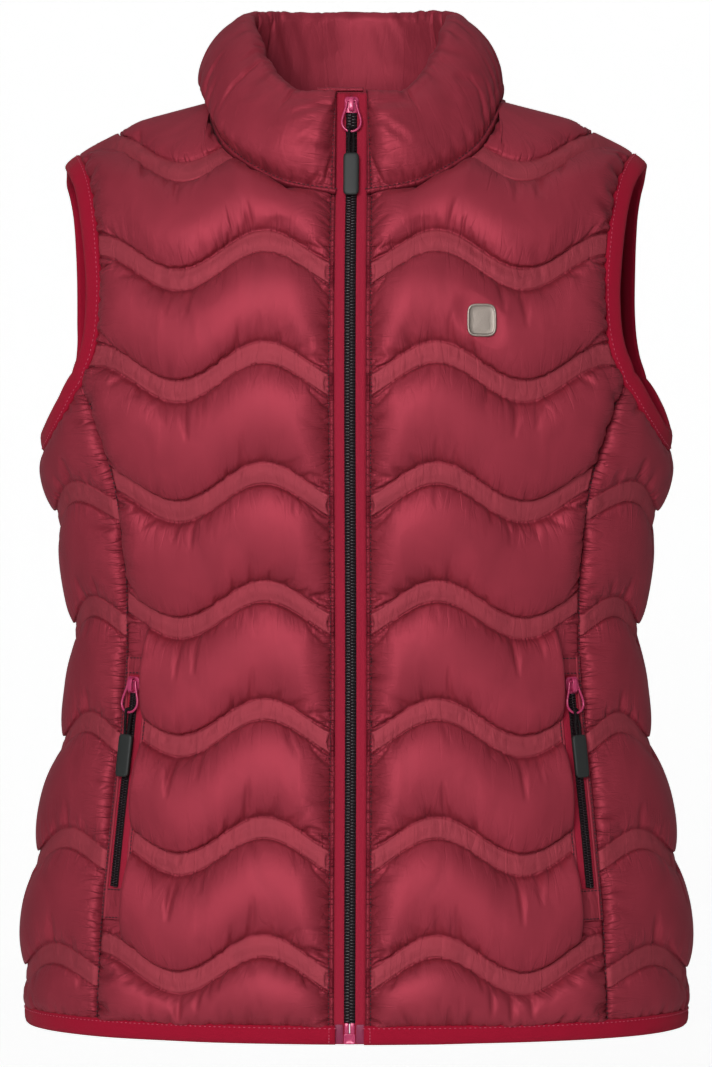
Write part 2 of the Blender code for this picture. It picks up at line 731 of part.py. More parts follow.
def zip_line(heights, collar_inner, collar_outer):
    """Depth of the middle of the front edges, up the front panels and then the collar."""
    chest = body_point(np.full_like(heights, ZIP_EDGE), heights, False)[:, 1] - WALL / 2
    middle = (collar_inner[:, 0] + collar_outer[:, 0]) / 2
    collar = np.interp(heights, middle[:, 2], middle[:, 1])
    return np.where(heights < middle[0, 2], chest, collar)


def add_zip_strip(name, low_x, high_x, heights, depth, thickness, material):
    """Upright strip between two x values that follows the front edges."""
    def side(offset):
        return np.stack([
            np.stack([np.full_like(heights, x), depth + offset, heights], axis=1)
            for x in (low_x, high_x)
        ], axis=1)

    return add_wall(name, side(thickness / 2), side(-thickness / 2), material)


def add_garage(collar_inner, collar_outer, material):
    """Folded patch along the right front corner of the collar's top edge, out over the zip."""
    ridge = (collar_inner[-1] + collar_outer[-1]) / 2
    ridge = ridge[np.argsort(ridge[:, 0])]
    x = np.linspace(-GARAGE_REACH, GARAGE_END, GARAGE_STATIONS)
    on_collar = np.minimum(x, -ZIP_EDGE)
    y = np.interp(on_collar, ridge[:, 0], ridge[:, 1])
    z = np.interp(on_collar, ridge[:, 0], ridge[:, 2]) + GARAGE_GAP
    rings = []
    for back, up in GARAGE_OUTLINE:
        rings.append(np.stack([x, y + back, z + up], axis=1))
    add_loft("zip_garage", np.stack(rings, axis=1), False, material)


class Frame:
    """Local axes of a zip: across it, up along it and out from the cloth."""

    def __init__(self, origin, up, out):
        self.origin = Vector(origin)
        self.up = Vector(up).normalized()
        self.across = self.up.cross(Vector(out)).normalized()
        self.out = self.across.cross(self.up)

    def place(self, across, up, out):
        return self.origin + self.across * across + self.up * up + self.out * out

    def turned(self, angle):
        """The same place, leaning out from the cloth by an angle below the origin."""
        lean = Matrix.Rotation(angle, 3, self.across)
        return Frame(self.origin, lean @ self.up, lean @ self.out)


def add_block(name, frame, profile, half, material):
    """Solid of an outline given as (up, out) pairs, carried across the frame."""
    count = len(profile)
    points = [frame.place(side * half, up, out) for side in (-1, 1) for up, out in profile]
    faces = [list(range(count)), [count + k for k in range(count)][::-1]]
    for k in range(count):
        nxt = (k + 1) % count
        faces.append([k, nxt, count + nxt, count + k])
    return add_object(name, points, faces, material)


def join_block(target, other):
    """Boolean union of a second block into the first."""
    union = target.modifiers.new("union", "BOOLEAN")
    union.operation = "UNION"
    union.solver = "EXACT"
    union.object = other
    other.hide_render = True
    other.display_type = "WIRE"


def add_slider(name, frame, back_plate, material):
    """Slider over the chain, whose front face is at out = 0, with the bridge that holds the pull."""
    low, high = -SLIDER_LENGTH / 2, SLIDER_LENGTH / 2
    front = SEAM_GAP + SLIDER_PLATE
    plate = ((low, SEAM_GAP), (high, SEAM_GAP), (high, front), (low, front))
    body = add_block(name, frame, plate, SLIDER_HALF, material)
    foot = front - SLIDER_ROOT
    if back_plate:
        behind = -CHAIN_THICKNESS - SEAM_GAP
        far = behind - SLIDER_PLATE
        post = high - SLIDER_POST
        post_end = high - SEAM_GAP
        back = ((post, foot), (post, behind), (low, behind), (low, far), (post_end, far),
                (post_end, foot))
        join_block(body, add_block(name + "_back_form", frame, back, POST_HALF, material))
    top = front + BRIDGE_RISE
    shoulder = top - BRIDGE_CORNER
    under = top - BRIDGE_WALL
    start, end = -BRIDGE_LENGTH / 2, BRIDGE_LENGTH / 2
    inside_start, inside_end = start + BRIDGE_FOOT, end - BRIDGE_WALL
    arch = ((start, foot), (start, shoulder), (start + BRIDGE_CORNER, top), (end - BRIDGE_CORNER, top),
            (end, shoulder), (end, foot), (inside_end, foot), (inside_end, under),
            (inside_start, under), (inside_start, foot))
    join_block(body, add_block(name + "_bridge_form", frame, arch, BRIDGE_HALF, material))


def pull_axis_place(frame):
    """Middle of the pull's top bar, inside the bridge."""
    out = SEAM_GAP + SLIDER_PLATE + (BRIDGE_RISE - BRIDGE_WALL - PULL_PLAY) / 2
    up = BRIDGE_LENGTH / 2 - BRIDGE_WALL - PULL_WIRE - PULL_PLAY
    return frame.place(0.0, up, out)


def add_pull(name, frame, material):
    """Wire loop, narrow through the bridge and round at its lower end."""
    turns = np.linspace(math.radians(200), math.radians(340), 9)
    low = -PULL_LENGTH + PULL_BOTTOM_HALF
    round_end = [(-math.cos(t), math.sin(t)) for t in turns]
    path = [(-PULL_TOP_HALF, 0.0), (PULL_TOP_HALF, 0.0), (PULL_NECK_HALF, -PULL_NECK)]
    path += [(across * PULL_BOTTOM_HALF, low + up * PULL_BOTTOM_HALF) for across, up in round_end]
    path += [(-PULL_NECK_HALF, -PULL_NECK)]
    path = np.array(path)
    along = np.roll(path, -1, axis=0) - np.roll(path, 1, axis=0)
    along /= np.linalg.norm(along, axis=1, keepdims=True)
    sections = []
    for (across, up), (along_across, along_up) in zip(path, along):
        ring = []
        for k in range(WIRE_SIDES):
            turn = 2 * math.pi * (k + 0.5) / WIRE_SIDES
            flat, out = math.cos(turn) * PULL_WIRE, math.sin(turn) * PULL_WIRE
            ring.append(frame.place(across - along_up * flat, up + along_across * flat, out))
        sections.append(ring)
    return add_loft(name, np.array(sections), True, material)


def add_grip(name, frame, material):
    """Short doubled cord and a rubber tab under the wire loop."""
    tab_top = -PULL_LENGTH - PULL_WIRE - SEAM_GAP - CORD_LENGTH
    sections = []
    for below, half, out in GRIP_SECTIONS:
        soft = min(GRIP_CORNER, out * 0.6)
        ring = ((-half, -out + soft), (-half + soft, -out), (half - soft, -out), (half, -out + soft),
                (half, out - soft), (half - soft, out), (-half + soft, out), (-half, out - soft))
        sections.append([frame.place(across, tab_top - below, outwards) for across, outwards in ring])
    return add_loft(name, np.array(sections), False, material)


def add_slider_set(names, line, out, back_plate, materials):
    """Slider, wire loop and grip of a zip.

    line holds points of the chain's face: at the slider's middle, over it, under it, and where
    the grip ends.
    """
    middle, over, under, end = (Vector(point) for point in line)
    frame = Frame(middle, over - under, out)
    add_slider(names[0], frame, back_plate, materials["pull"])
    pivot = pull_axis_place(frame)
    along = Frame(middle, middle - end, out)
    needed = PULL_CLEARANCE + GRIP_THICKNESS / 2
    lean = math.asin((needed - (pivot - middle).dot(along.out)) / PULL_REACH)
    hanging = Frame(pivot, along.up, along.out).turned(-lean)
    add_pull(names[1], hanging, materials["pull"])
    add_grip(names[1] + "_grip", hanging, materials["grip"])


def slider_line_heights(middle):
    return middle + np.array([0.0, SLIDER_LENGTH / 2, -SLIDER_LENGTH / 2, -PULL_REACH])


def add_box_stack(name, levels, depth, material):
    """Stepped block of level rectangles: height, half width and thickness of each."""
    sections = []
    for z, half, thickness in levels:
        low, high = depth - thickness / 2, depth + thickness / 2
        sections.append([(-half, low, z), (half, low, z), (half, high, z), (-half, high, z)])
    return add_loft(name, np.array(sections), False, material, False)


# ---------------------------------------------------------------- pockets and badge

def pocket_point(distance, height, rise, side):
    """Point at a distance in front of the princess seam, raised over the panel's inner points."""
    point = body_point(edge_width(FRONT_EDGE, height) - distance, height, False)
    point = point + body_normal(point) * rise[..., None]
    return point if side > 0 else mirrored(point)


def add_pocket(word, side, materials):
    """Welt with its end patches, tape and chain, slider and pull of one pocket."""
    tape_end_top = POCKET_TOP - POCKET_TOP_PATCH
    tape_end_low = POCKET_BOTTOM + POCKET_BOTTOM_PATCH
    tape_z = np.linspace(tape_end_low, tape_end_top, POCKET_ROWS)
    heights = np.concatenate([[POCKET_BOTTOM], tape_z, [POCKET_TOP]])
    inner_edge = POCKET_OUTER + POCKET_WIDTH
    distances = np.array([inner_edge, inner_edge - POCKET_LIP, POCKET_OUTER + POCKET_LIP, POCKET_OUTER])
    grid_d, grid_z = np.meshgrid(distances, heights)
    foot = np.full_like(grid_d, WALL + POCKET_GAP)
    opening = np.zeros((len(heights) - 1, 3), bool)
    opening[1:-1, 1] = True
    add_wall("pocket_welt_" + word, pocket_point(grid_d, grid_z, foot, side),
             pocket_point(grid_d, grid_z, foot + WELT_THICKNESS, side), materials["cloth"], opening)

    strip_z = tape_z.copy()
    strip_z[0] += SEAM_GAP
    strip_z[-1] -= SEAM_GAP
    middle = POCKET_OUTER + POCKET_WIDTH / 2
    tape_half = POCKET_WIDTH / 2 - POCKET_LIP - SEAM_GAP
    chain_face = POCKET_CHAIN_HALF - POCKET_CHAIN_CORNER
    half = np.array([tape_half, POCKET_CHAIN_HALF, chain_face])
    half_raised = np.array([POCKET_TAPE_THICKNESS, POCKET_TAPE_THICKNESS, POCKET_CHAIN_THICKNESS])
    across = np.concatenate([middle + half, middle - half[::-1]])
    raised = np.concatenate([half_raised, half_raised[::-1]])
    grid_d, grid_z = np.meshgrid(across, strip_z)
    foot = np.full_like(grid_d, WALL + POCKET_GAP)
    add_wall("pocket_zip_" + word, pocket_point(grid_d, grid_z, foot, side),
             pocket_point(grid_d, grid_z, foot + raised[None, :], side), materials["tape"])

    slider_z = tape_end_top - POCKET_SLIDER_DROP
    chain_out = WALL + POCKET_GAP + POCKET_CHAIN_THICKNESS
    places = slider_line_heights(slider_z)
    line = pocket_point(np.full(4, middle), places, np.full(4, chain_out), side)
    names = ("pocket_slider_" + word, "pocket_pull_" + word)
    add_slider_set(names, line, body_normal(line)[0], False, materials)


def add_badge(panel, material):
    """Plain rounded metal plate with a raised rim, on the puff of the left front."""
    tree = BVHTree.FromObject(panel, bpy.context.evaluated_depsgraph_get())
    x, z = BADGE_PLACE

    def on_panel(dx, dz):
        start = Vector((x + dx * BADGE_HALF_WIDTH, -0.5, z + dz * BADGE_HALF_HEIGHT))
        return tree.ray_cast(start, Vector((0, 1, 0)))[0]

    across = on_panel(1, 0) - on_panel(-1, 0)
    up = on_panel(0, 1) - on_panel(0, -1)
    frame = Frame(on_panel(0, 0), up, across.cross(up))
    outline = []
    for turn in np.linspace(0, 2 * math.pi, BADGE_SIDES + 1)[:-1]:
        c, s = math.cos(turn), math.sin(turn)
        outline.append((math.copysign(abs(c) ** 0.5, c), math.copysign(abs(s) ** 0.5, s)))
    highest = -1.0
    for scale in (0.0, 0.5, 1.0):
        for a, u in outline:
            start = frame.place(a * BADGE_HALF_WIDTH * scale, u * BADGE_HALF_HEIGHT * scale, 0.05)
            touch = tree.ray_cast(start, -frame.out)[0]
            highest = max(highest, (touch - frame.origin).dot(frame.out))
    back = highest + SEAM_GAP
    front = back + BADGE_THICKNESS
    rim = 1 - BADGE_RIM / BADGE_HALF_WIDTH
    levels = ((1.0, back), (1.0, front - BADGE_SINK), (0.97, front), (rim, front),
              (rim - 0.04, front - BADGE_SINK))
    sections = []
    for scale, out in levels:
        half_width, half_height = BADGE_HALF_WIDTH * scale, BADGE_HALF_HEIGHT * scale
        sections.append([frame.place(a * half_width, u * half_height, out) for a, u in outline])
    add_loft("badge", np.array(sections), False, material)


# ---------------------------------------------------------------- whole waistcoat

def add_panels(materials):
    """Quilted panels; gives back the points of those at +X and of the back."""
    front, front_rise = front_panel()
    side, side_rise = side_panel()
    back, back_rise = back_panel()
    for word, turned in (("left", lambda points: points), ("right", mirrored)):
        add_quilt("front_" + word, turned(front), front_rise, materials["cloth"])
        add_quilt("side_" + word, turned(side), side_rise, materials["cloth"])
    add_quilt("back", back, back_rise, materials["cloth"])
    return front, side, back


def add_bindings(front, side, back, material):
    loop, inside = thin_out(*armhole_stations(front, side, back), ARM_STATION_GAP)
    normal, away = edge_frames(loop, True, inside)
    sections = binding_sections(loop, normal, away, ARM_BINDING)
    add_loft("armhole_binding_left", sections, True, material)
    add_loft("armhole_binding_right", mirrored(sections), True, material)

    half = np.concatenate([front[0], side[0]])
    hem = np.concatenate([half, back[0], mirrored(half)[::-1]])
    hem, _ = thin_out(hem, hem, HEM_STATION_GAP)
    normal = body_normal(hem)
    normal[[0, -1], 0] = 0.0
    down = np.tile([0.0, 0.0, -1.0], (len(hem), 1))
    add_loft("hem_binding", binding_sections(hem, normal, down, HEM_BINDING), False, material)


def add_collar(front, back, material):
    """Collar round the neck edges of the fronts and the back; gives back its two grids."""
    corner = len(FRONT_NECK_COLUMNS) + 1
    back_corner = len(SHOULDER_COLUMNS)
    rings = []
    for row in (-1, -3):
        half = front[row, :corner]
        rings.append(np.concatenate([half, back[row, back_corner:-back_corner], mirrored(half)[::-1]]))
    collar_inner, collar_outer = collar_points(*rings)
    add_wall("collar", collar_inner, collar_outer, material)
    return collar_inner, collar_outer


def add_centre_zip(collar, materials):
    heights = np.concatenate([np.linspace(ZIP_BOTTOM, -0.10, 24), np.linspace(-0.085, ZIP_TOP, 8)])
    depth = zip_line(heights, *collar)
    for word, side_sign in (("left", 1), ("right", -1)):
        near, far = side_sign * (CHAIN_HALF + SEAM_GAP), side_sign * (ZIP_EDGE - SEAM_GAP)
        add_zip_strip("zip_tape_" + word, near, far, heights, depth, TAPE_THICKNESS, materials["tape"])
    between = heights[(heights > CHAIN_BOTTOM) & (heights < CHAIN_TOP)]
    chain_z = np.concatenate([[CHAIN_BOTTOM], between, [CHAIN_TOP]])
    add_zip_strip("zip_chain", -CHAIN_HALF, CHAIN_HALF, chain_z, zip_line(chain_z, *collar),
                  CHAIN_THICKNESS, materials["teeth"])

    places = slider_line_heights(SLIDER_TOP - SLIDER_LENGTH / 2)
    face = zip_line(places, *collar) - CHAIN_THICKNESS / 2
    line = np.stack([np.zeros_like(places), face, places], axis=1)
    add_slider_set(("zip_slider", "zip_pull"), line, (0, -1, 0), True, materials)

    box_depth = zip_line(np.array([BOX_TOP, ZIP_BOTTOM]), *collar).mean()
    levels = ((ZIP_BOTTOM, BOX_HALF, BOX_THICKNESS), (BOX_TOP, BOX_HALF, BOX_THICKNESS),
              (BOX_TOP, PIN_HALF, PIN_THICKNESS), (CHAIN_BOTTOM - SEAM_GAP, PIN_HALF, PIN_THICKNESS))
    add_box_stack("zip_pin_box", levels, box_depth, materials["pull"])
    add_garage(*collar, materials["cloth"])


def build():
    materials = {
        "cloth": make_material("cloth", CLOTH_RED, 0.42),
        "binding": make_material("binding", BINDING_RED, 0.65),
        "tape": make_material("tape", TAPE_RED, 0.75),
        "teeth": make_material("teeth", TEETH_DARK, 0.35),
        "pull": make_material("pull", PULL_PINK, 0.35, 0.3),
        "grip": make_material("grip", GRIP_GREY, 0.55),
        "badge": make_material("badge", BADGE_PEWTER, 0.45, 0.8),
    }
    front, side, back = add_panels(materials)
    add_bindings(front, side, back, materials["binding"])
    collar = add_collar(front, back, materials["cloth"])
    add_centre_zip(collar, materials)
    for word, side_sign in (("left", 1), ("right", -1)):
        add_pocket(word, side_sign, materials)
    add_badge(bpy.data.objects["front_left"], materials["badge"])


if __name__ == "__main__":
    for old in list(bpy.data.objects):
        bpy.data.objects.remove(old, do_unlink=True)
    build()
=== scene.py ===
import math
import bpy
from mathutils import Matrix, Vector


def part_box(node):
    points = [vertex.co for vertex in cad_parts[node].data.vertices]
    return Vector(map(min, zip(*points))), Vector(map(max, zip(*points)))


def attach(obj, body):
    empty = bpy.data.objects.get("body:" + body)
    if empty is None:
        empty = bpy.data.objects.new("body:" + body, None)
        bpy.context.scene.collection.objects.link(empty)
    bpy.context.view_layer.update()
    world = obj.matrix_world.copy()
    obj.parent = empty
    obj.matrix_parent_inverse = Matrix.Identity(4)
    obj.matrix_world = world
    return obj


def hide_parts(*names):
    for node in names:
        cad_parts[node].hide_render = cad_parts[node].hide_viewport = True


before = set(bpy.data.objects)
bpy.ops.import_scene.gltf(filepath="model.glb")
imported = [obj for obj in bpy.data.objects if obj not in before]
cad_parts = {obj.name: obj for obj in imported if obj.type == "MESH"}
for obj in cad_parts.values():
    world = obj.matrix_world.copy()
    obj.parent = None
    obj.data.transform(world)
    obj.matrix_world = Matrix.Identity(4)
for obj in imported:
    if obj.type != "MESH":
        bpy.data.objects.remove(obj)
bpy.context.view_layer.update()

from concurrent.futures import ThreadPoolExecutor

import bmesh
import bpy
import numpy as np
from mathutils import Vector

# Metres, +Z up, front towards -Y, the wearer's left at +X, the origin in the middle of the neck.

# Camera: straight on from the front, a little from the wearer's left, as far as a studio allows
view = {"azimuth": 1.9, "distance": 2.85, "aim": (0.0, 0.0, -0.2947), "metresPerPixel": 0.0007,
        "photoHeight": 1067, "sensor": 36.0, "farthest": 60.0}


# Focal length = sensor * distance / height of the picture at the garment.
def makeCamera():
    lens = bpy.data.cameras.new("camera")
    camera = bpy.data.objects.new("camera", lens)
    bpy.context.collection.objects.link(camera)
    turn = math.radians(view["azimuth"])
    away = Vector((math.sin(turn), -math.cos(turn), 0.0))
    camera.location = Vector(view["aim"]) + away * view["distance"]
    camera.rotation_euler = (-away).to_track_quat("-Z", "Y").to_euler()
    lens.sensor_width = view["sensor"]  # for the long side of the frame
    lens.lens = view["sensor"] * view["distance"] / (view["photoHeight"] * view["metresPerPixel"])
    lens.clip_end = view["farthest"]
    bpy.context.scene.camera = camera


makeCamera()


# Quads of a grid of points; around joins the last column to the first.
def gridFaces(rows, columns, around):
    number = np.arange(rows * columns).reshape(rows, columns)
    if around:
        number = np.concatenate([number, number[:, :1]], axis=1)
    a, b, c, d = number[:-1, :-1], number[:-1, 1:], number[1:, 1:], number[1:, :-1]
    return np.stack([a, b, c, d], axis=-1).reshape(-1, 4)


# Puts a mesh in the scene as a smooth piece of one material.
def placeMesh(name, mesh, material):
    mesh.polygons.foreach_set("use_smooth", np.ones(len(mesh.polygons), bool))
    mesh.materials.append(material)
    made = bpy.data.objects.new(name, mesh)
    bpy.context.collection.objects.link(made)
    return made


# One mesh from several grids, welded where points meet. A grid is a dictionary: points
# (rows, columns, 3), and, where they are needed, outward (the direction that the faces look
# along, or one at each point), uv, around, and masks, which are values from 0 to 1.
def meshObject(name, grids, material, weld):
    points, quads, uvs, masks, start = [], [], [], {}, 0
    names = sorted({key for grid in grids for key in grid.get("masks", {})})
    for grid in grids:
        places = np.asarray(grid["points"], np.float64)
        rows, columns = places.shape[:2]
        faces = gridFaces(rows, columns, grid.get("around", False))
        flat = places.reshape(-1, 3)
        if "outward" in grid:
            corner = flat[faces]
            across = np.cross(corner[:, 2] - corner[:, 0], corner[:, 3] - corner[:, 1])
            outward = np.asarray(grid["outward"], np.float64)
            if outward.ndim == 3:
                outward = outward.reshape(-1, 3)[faces[:, 0]]
            if (across * outward).sum() < 0:
                faces = faces[:, ::-1]
        points.append(flat)
        quads.append(faces + start)
        uv = grid.get("uv")
        uvs.append(np.zeros((len(flat), 2)) if uv is None else np.asarray(uv).reshape(-1, 2))
        for key in names:
            value = grid.get("masks", {}).get(key, 0.0)
            masks.setdefault(key, []).append(np.broadcast_to(value, (rows, columns)).reshape(-1))
        start += len(flat)
    points, quads, uvs = np.concatenate(points), np.concatenate(quads), np.concatenate(uvs)
    mesh = bpy.data.meshes.new(name)
    mesh.vertices.add(len(points))
    mesh.vertices.foreach_set("co", points.astype(np.float32).ravel())
    mesh.loops.add(quads.size)
    mesh.loops.foreach_set("vertex_index", quads.astype(np.int32).ravel())
    mesh.polygons.add(len(quads))
    mesh.polygons.foreach_set("loop_start", np.arange(0, quads.size, 4, dtype=np.int32))
    layer = mesh.uv_layers.new(name="UVMap")
    layer.data.foreach_set("uv", uvs[quads.ravel()].astype(np.float32).ravel())
    for key in names:
        attribute = mesh.attributes.new(key, "FLOAT", "POINT")
        attribute.data.foreach_set("value", np.concatenate(masks[key]).astype(np.float32))
    mesh.update(calc_edges=True)
    mesh.validate()
    shape = bmesh.new()
    shape.from_mesh(mesh)
    bmesh.ops.remove_doubles(shape, verts=shape.verts, dist=weld)
    bmesh.ops.dissolve_degenerate(shape, edges=shape.edges, dist=weld / 2)
    shape.to_mesh(mesh)
    shape.free()
    return placeMesh(name, mesh, material)


# Grids of a closed strip: the surface round its rings, and a flat end over its first and last
# ring for each direction in ends.
def stripGrids(points, ends, uv=None, masks=(), endMasks=()):
    grids = [{"points": points, "around": True, "uv": uv, "masks": dict(masks),
              "outward": points - points.mean(axis=1, keepdims=True)}]
    for ring, outward in zip((points[0], points[-1]), ends):
        grids.append({"points": np.stack([ring, np.broadcast_to(ring.mean(axis=0), ring.shape)]),
                      "around": True, "outward": outward, "masks": dict(endMasks)})
    return grids


# Puts a piece on its body and hides the solids that it stands for; the slot is not used.
def finishPiece(piece, body, slot, *nodes):
    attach(piece, body)
    if nodes:
        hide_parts(*nodes)
    return piece


# v / |v|.
def unit(vectors):
    return vectors / np.maximum(np.linalg.norm(vectors, axis=-1, keepdims=True), 1e-12)


# 3 s^2 - 2 s^3, level below 0 and above 1.
def smoothStep(share):
    share = np.clip(share, 0.0, 1.0)
    return share * share * (3 - 2 * share)


# Smooth curve through a table without overshoot (monotone cubic), level past its ends.
def smoothCurve(places, values, at):
    places, values = np.asarray(places, float), np.asarray(values, float)
    steps = np.diff(places)
    slopes = np.diff(values) / steps
    rising = slopes[:-1] * slopes[1:] > 0
    before, after = 2 * steps[1:] + steps[:-1], steps[1:] + 2 * steps[:-1]
    low, high = np.where(rising, slopes[:-1], 1.0), np.where(rising, slopes[1:], 1.0)
    inner = np.where(rising, (before + after) / (before / low + after / high), 0.0)
    tangents = np.concatenate([slopes[:1], inner, slopes[-1:]])
    at = np.clip(at, places[0], places[-1])
    i = np.clip(np.searchsorted(places, at) - 1, 0, len(steps) - 1)
    t = (at - places[i]) / steps[i]
    return ((1 + 2 * t) * (1 - t) ** 2 * values[i] + t * (1 - t) ** 2 * steps[i] * tangents[i]
            + t * t * (3 - 2 * t) * values[i + 1] - t * t * (1 - t) * steps[i] * tangents[i + 1])


# Length of a path up to each of its points: the sum of the steps before it.
def runAlong(path):
    return np.concatenate([[0.0], np.cumsum(np.linalg.norm(np.diff(path, axis=0), axis=1))])


# Values of (points, 3) that stand at the places run, read in straight lines at other places.
def readAt(at, run, values):
    return np.stack([np.interp(at, run, values[:, k]) for k in range(3)], axis=1)


# Points about pitch apart along a path of points, and the length of the path up to each.
def resample(path, pitch, closed=False):
    path = np.asarray(path, float)
    if closed:
        path = np.concatenate([path, path[:1]])
    run = runAlong(path)
    count = max(2, int(round(run[-1] / pitch)) + 1)
    at = np.linspace(0.0, run[-1], count)[: -1 if closed else None]
    return readAt(at, run, path), at


# Smooth random values of about -1 to 1: a coarse random grid of cells, read with soft steps.
def smoothNoise(seed, shape, cells):
    values = np.random.default_rng(seed).uniform(-1, 1, (cells[0] + 2, cells[1] + 2))
    r = np.linspace(0, cells[0], shape[0])[:, None]
    c = np.linspace(0, cells[1], shape[1])[None, :]
    i, j = r.astype(int), c.astype(int)
    s, t = smoothStep(r - i), smoothStep(c - j)
    return ((values[i, j] * (1 - s) + values[i + 1, j] * s) * (1 - t)
            + (values[i, j + 1] * (1 - s) + values[i + 1, j + 1] * s) * t)


# A shader node group with named inputs (name, default) and outputs (name, kind).
def nodeGroup(name, inputs, outputs):
    group = bpy.data.node_groups.new(name, "ShaderNodeTree")
    for label, default in inputs:
        kind = "NodeSocketFloat" if isinstance(default, (int, float)) else (
            "NodeSocketVector" if len(default) == 3 else "NodeSocketColor")
        socket = group.interface.new_socket(label, in_out="INPUT", socket_type=kind)
        socket.default_value = default
    for label, kind in outputs:
        group.interface.new_socket(label, in_out="OUTPUT", socket_type=kind)
    return group, group.nodes.new("NodeGroupInput"), group.nodes.new("NodeGroupOutput")


# A node with its values set by property or input name, and its inputs linked.
def addNode(tree, kind, links=(), **values):
    node = tree.nodes.new(kind)
    for key, value in values.items():
        if hasattr(node, key):
            setattr(node, key, value)
        else:
            node.inputs[key.replace("_", " ")].default_value = value
    for socket, source in links:
        tree.links.new(source, node.inputs[socket])
    return node


# A math node; each operand is a socket or a number.
def mathNode(tree, operation, first, second=None, third=None):
    node = tree.nodes.new("ShaderNodeMath")
    node.operation = operation
    for k, operand in enumerate((first, second, third)):
        if operand is None:
            continue
        if isinstance(operand, (int, float)):
            node.inputs[k].default_value = operand
        else:
            tree.links.new(operand, node.inputs[k])
    return node.outputs[0]


# A colour between two, by a share; each is a socket or a value.
def mixColour(tree, share, first, second, blend="MIX"):
    node = tree.nodes.new("ShaderNodeMix")
    node.data_type = "RGBA"
    node.blend_type = blend
    for socket, operand in ((node.inputs[0], share), (node.inputs[6], first), (node.inputs[7], second)):
        if isinstance(operand, bpy.types.NodeSocket):
            tree.links.new(operand, socket)
        else:
            socket.default_value = operand
    return node.outputs[2]


# Fine plain weave on the UV map, which is in metres: crossing waves of warp and weft.
def buildWeaveGroup():
    group, given, out = nodeGroup("fineWeave", [("Thread", 0.0004), ("Vector", (0.0, 0.0, 0.0))],
                                  [("Height", "NodeSocketFloat")])
    parts = addNode(group, "ShaderNodeSeparateXYZ", [(0, given.outputs["Vector"])])
    turns = mathNode(group, "DIVIDE", 2 * math.pi, given.outputs["Thread"])
    across = mathNode(group, "SINE", mathNode(group, "MULTIPLY", parts.outputs[0], turns))
    along = mathNode(group, "SINE", mathNode(group, "MULTIPLY", parts.outputs[1], turns))
    product = mathNode(group, "MULTIPLY", across, along)
    height = mathNode(group, "MULTIPLY_ADD", product, 0.5, 0.5)
    group.links.new(height, out.inputs["Height"])
    return group


# Small uneven creases: noise pulled out along one direction of the UV map, with a narrow
# trough where it passes its middle value, all stronger where the given mask is high.
def buildCreaseGroup():
    group, given, out = nodeGroup(
        "smallCreases",
        [("Vector", (0.0, 0.0, 0.0)), ("Across", 900.0), ("Along", 120.0), ("Mask", 1.0), ("Sharp", 0.0)],
        [("Height", "NodeSocketFloat"), ("Tone", "NodeSocketFloat")])
    scale = addNode(group, "ShaderNodeCombineXYZ",
                    [(0, given.outputs["Across"]), (1, given.outputs["Along"])])
    pulled = addNode(group, "ShaderNodeVectorMath",
                     [(0, given.outputs["Vector"]), (1, scale.outputs[0])], operation="MULTIPLY")
    noise = addNode(group, "ShaderNodeTexNoise", [("Vector", pulled.outputs[0])],
                    Scale=1.0, Detail=1.6, Roughness=0.5, Distortion=0.7)
    centred = mathNode(group, "SUBTRACT", noise.outputs[0], 0.5)
    near = mathNode(group, "MULTIPLY_ADD", mathNode(group, "ABSOLUTE", centred), -9.0, 1.0)
    line = mathNode(group, "POWER", mathNode(group, "MAXIMUM", near, 0.0), 2.0)
    trough = mathNode(group, "MULTIPLY", line, given.outputs["Sharp"])
    uneven = mathNode(group, "SUBTRACT", centred, trough)
    height = mathNode(group, "MULTIPLY", uneven, given.outputs["Mask"])
    group.links.new(height, out.inputs["Height"])
    group.links.new(noise.outputs[0], out.inputs["Tone"])
    return group


# Fine surface grain of moulded or painted pieces, with a colour shift on the same spots.
def buildGrainGroup():
    group, given, out = nodeGroup(
        "fineGrain", [("Scale", 900.0), ("Colour", (1.0, 1.0, 1.0, 1.0)), ("Shift", 0.15)],
        [("Height", "NodeSocketFloat"), ("Colour", "NodeSocketColor")])
    place = group.nodes.new("ShaderNodeTexCoord")
    noise = addNode(group, "ShaderNodeTexNoise",
                    [("Vector", place.outputs["Object"]), ("Scale", given.outputs["Scale"])],
                    Detail=4.0, Roughness=0.6)
    dark = mixColour(group, 1.0, given.outputs["Colour"], (0.72, 0.72, 0.72, 1.0), "MULTIPLY")
    light = mixColour(group, 1.0, given.outputs["Colour"], (1.25, 1.25, 1.25, 1.0), "MULTIPLY")
    varied = mixColour(group, noise.outputs[0], dark, light)
    colour = mixColour(group, given.outputs["Shift"], given.outputs["Colour"], varied)
    group.links.new(noise.outputs[0], out.inputs["Height"])
    group.links.new(colour, out.inputs["Colour"])
    return group


weaveGroup, creaseGroup, grainGroup = buildWeaveGroup(), buildCreaseGroup(), buildGrainGroup()


# A new material, with its node tree and its Principled shader.
def newMaterial(name):
    material = bpy.data.materials.new(name)
    material.use_nodes = True
    return material, material.node_tree, material.node_tree.nodes["Principled BSDF"]


# One of the groups above in a material, with its inputs set or linked.
def placeGroup(tree, group, links=(), **values):
    node = addNode(tree, "ShaderNodeGroup", node_tree=group)
    for key, value in values.items():
        node.inputs[key].default_value = value
    for socket, source in links:
        tree.links.new(source, node.inputs[socket])
    return node


# Bump of a height that is a share of distance, in metres, on top of an earlier bump.
def addBump(tree, shader, height, distance, normal=None):
    bump = addNode(tree, "ShaderNodeBump", [("Height", height)], Distance=distance, Strength=1.0)
    if normal is not None:
        tree.links.new(normal, bump.inputs["Normal"])
    tree.links.new(bump.outputs[0], shader.inputs["Normal"])
    return bump.outputs[0]
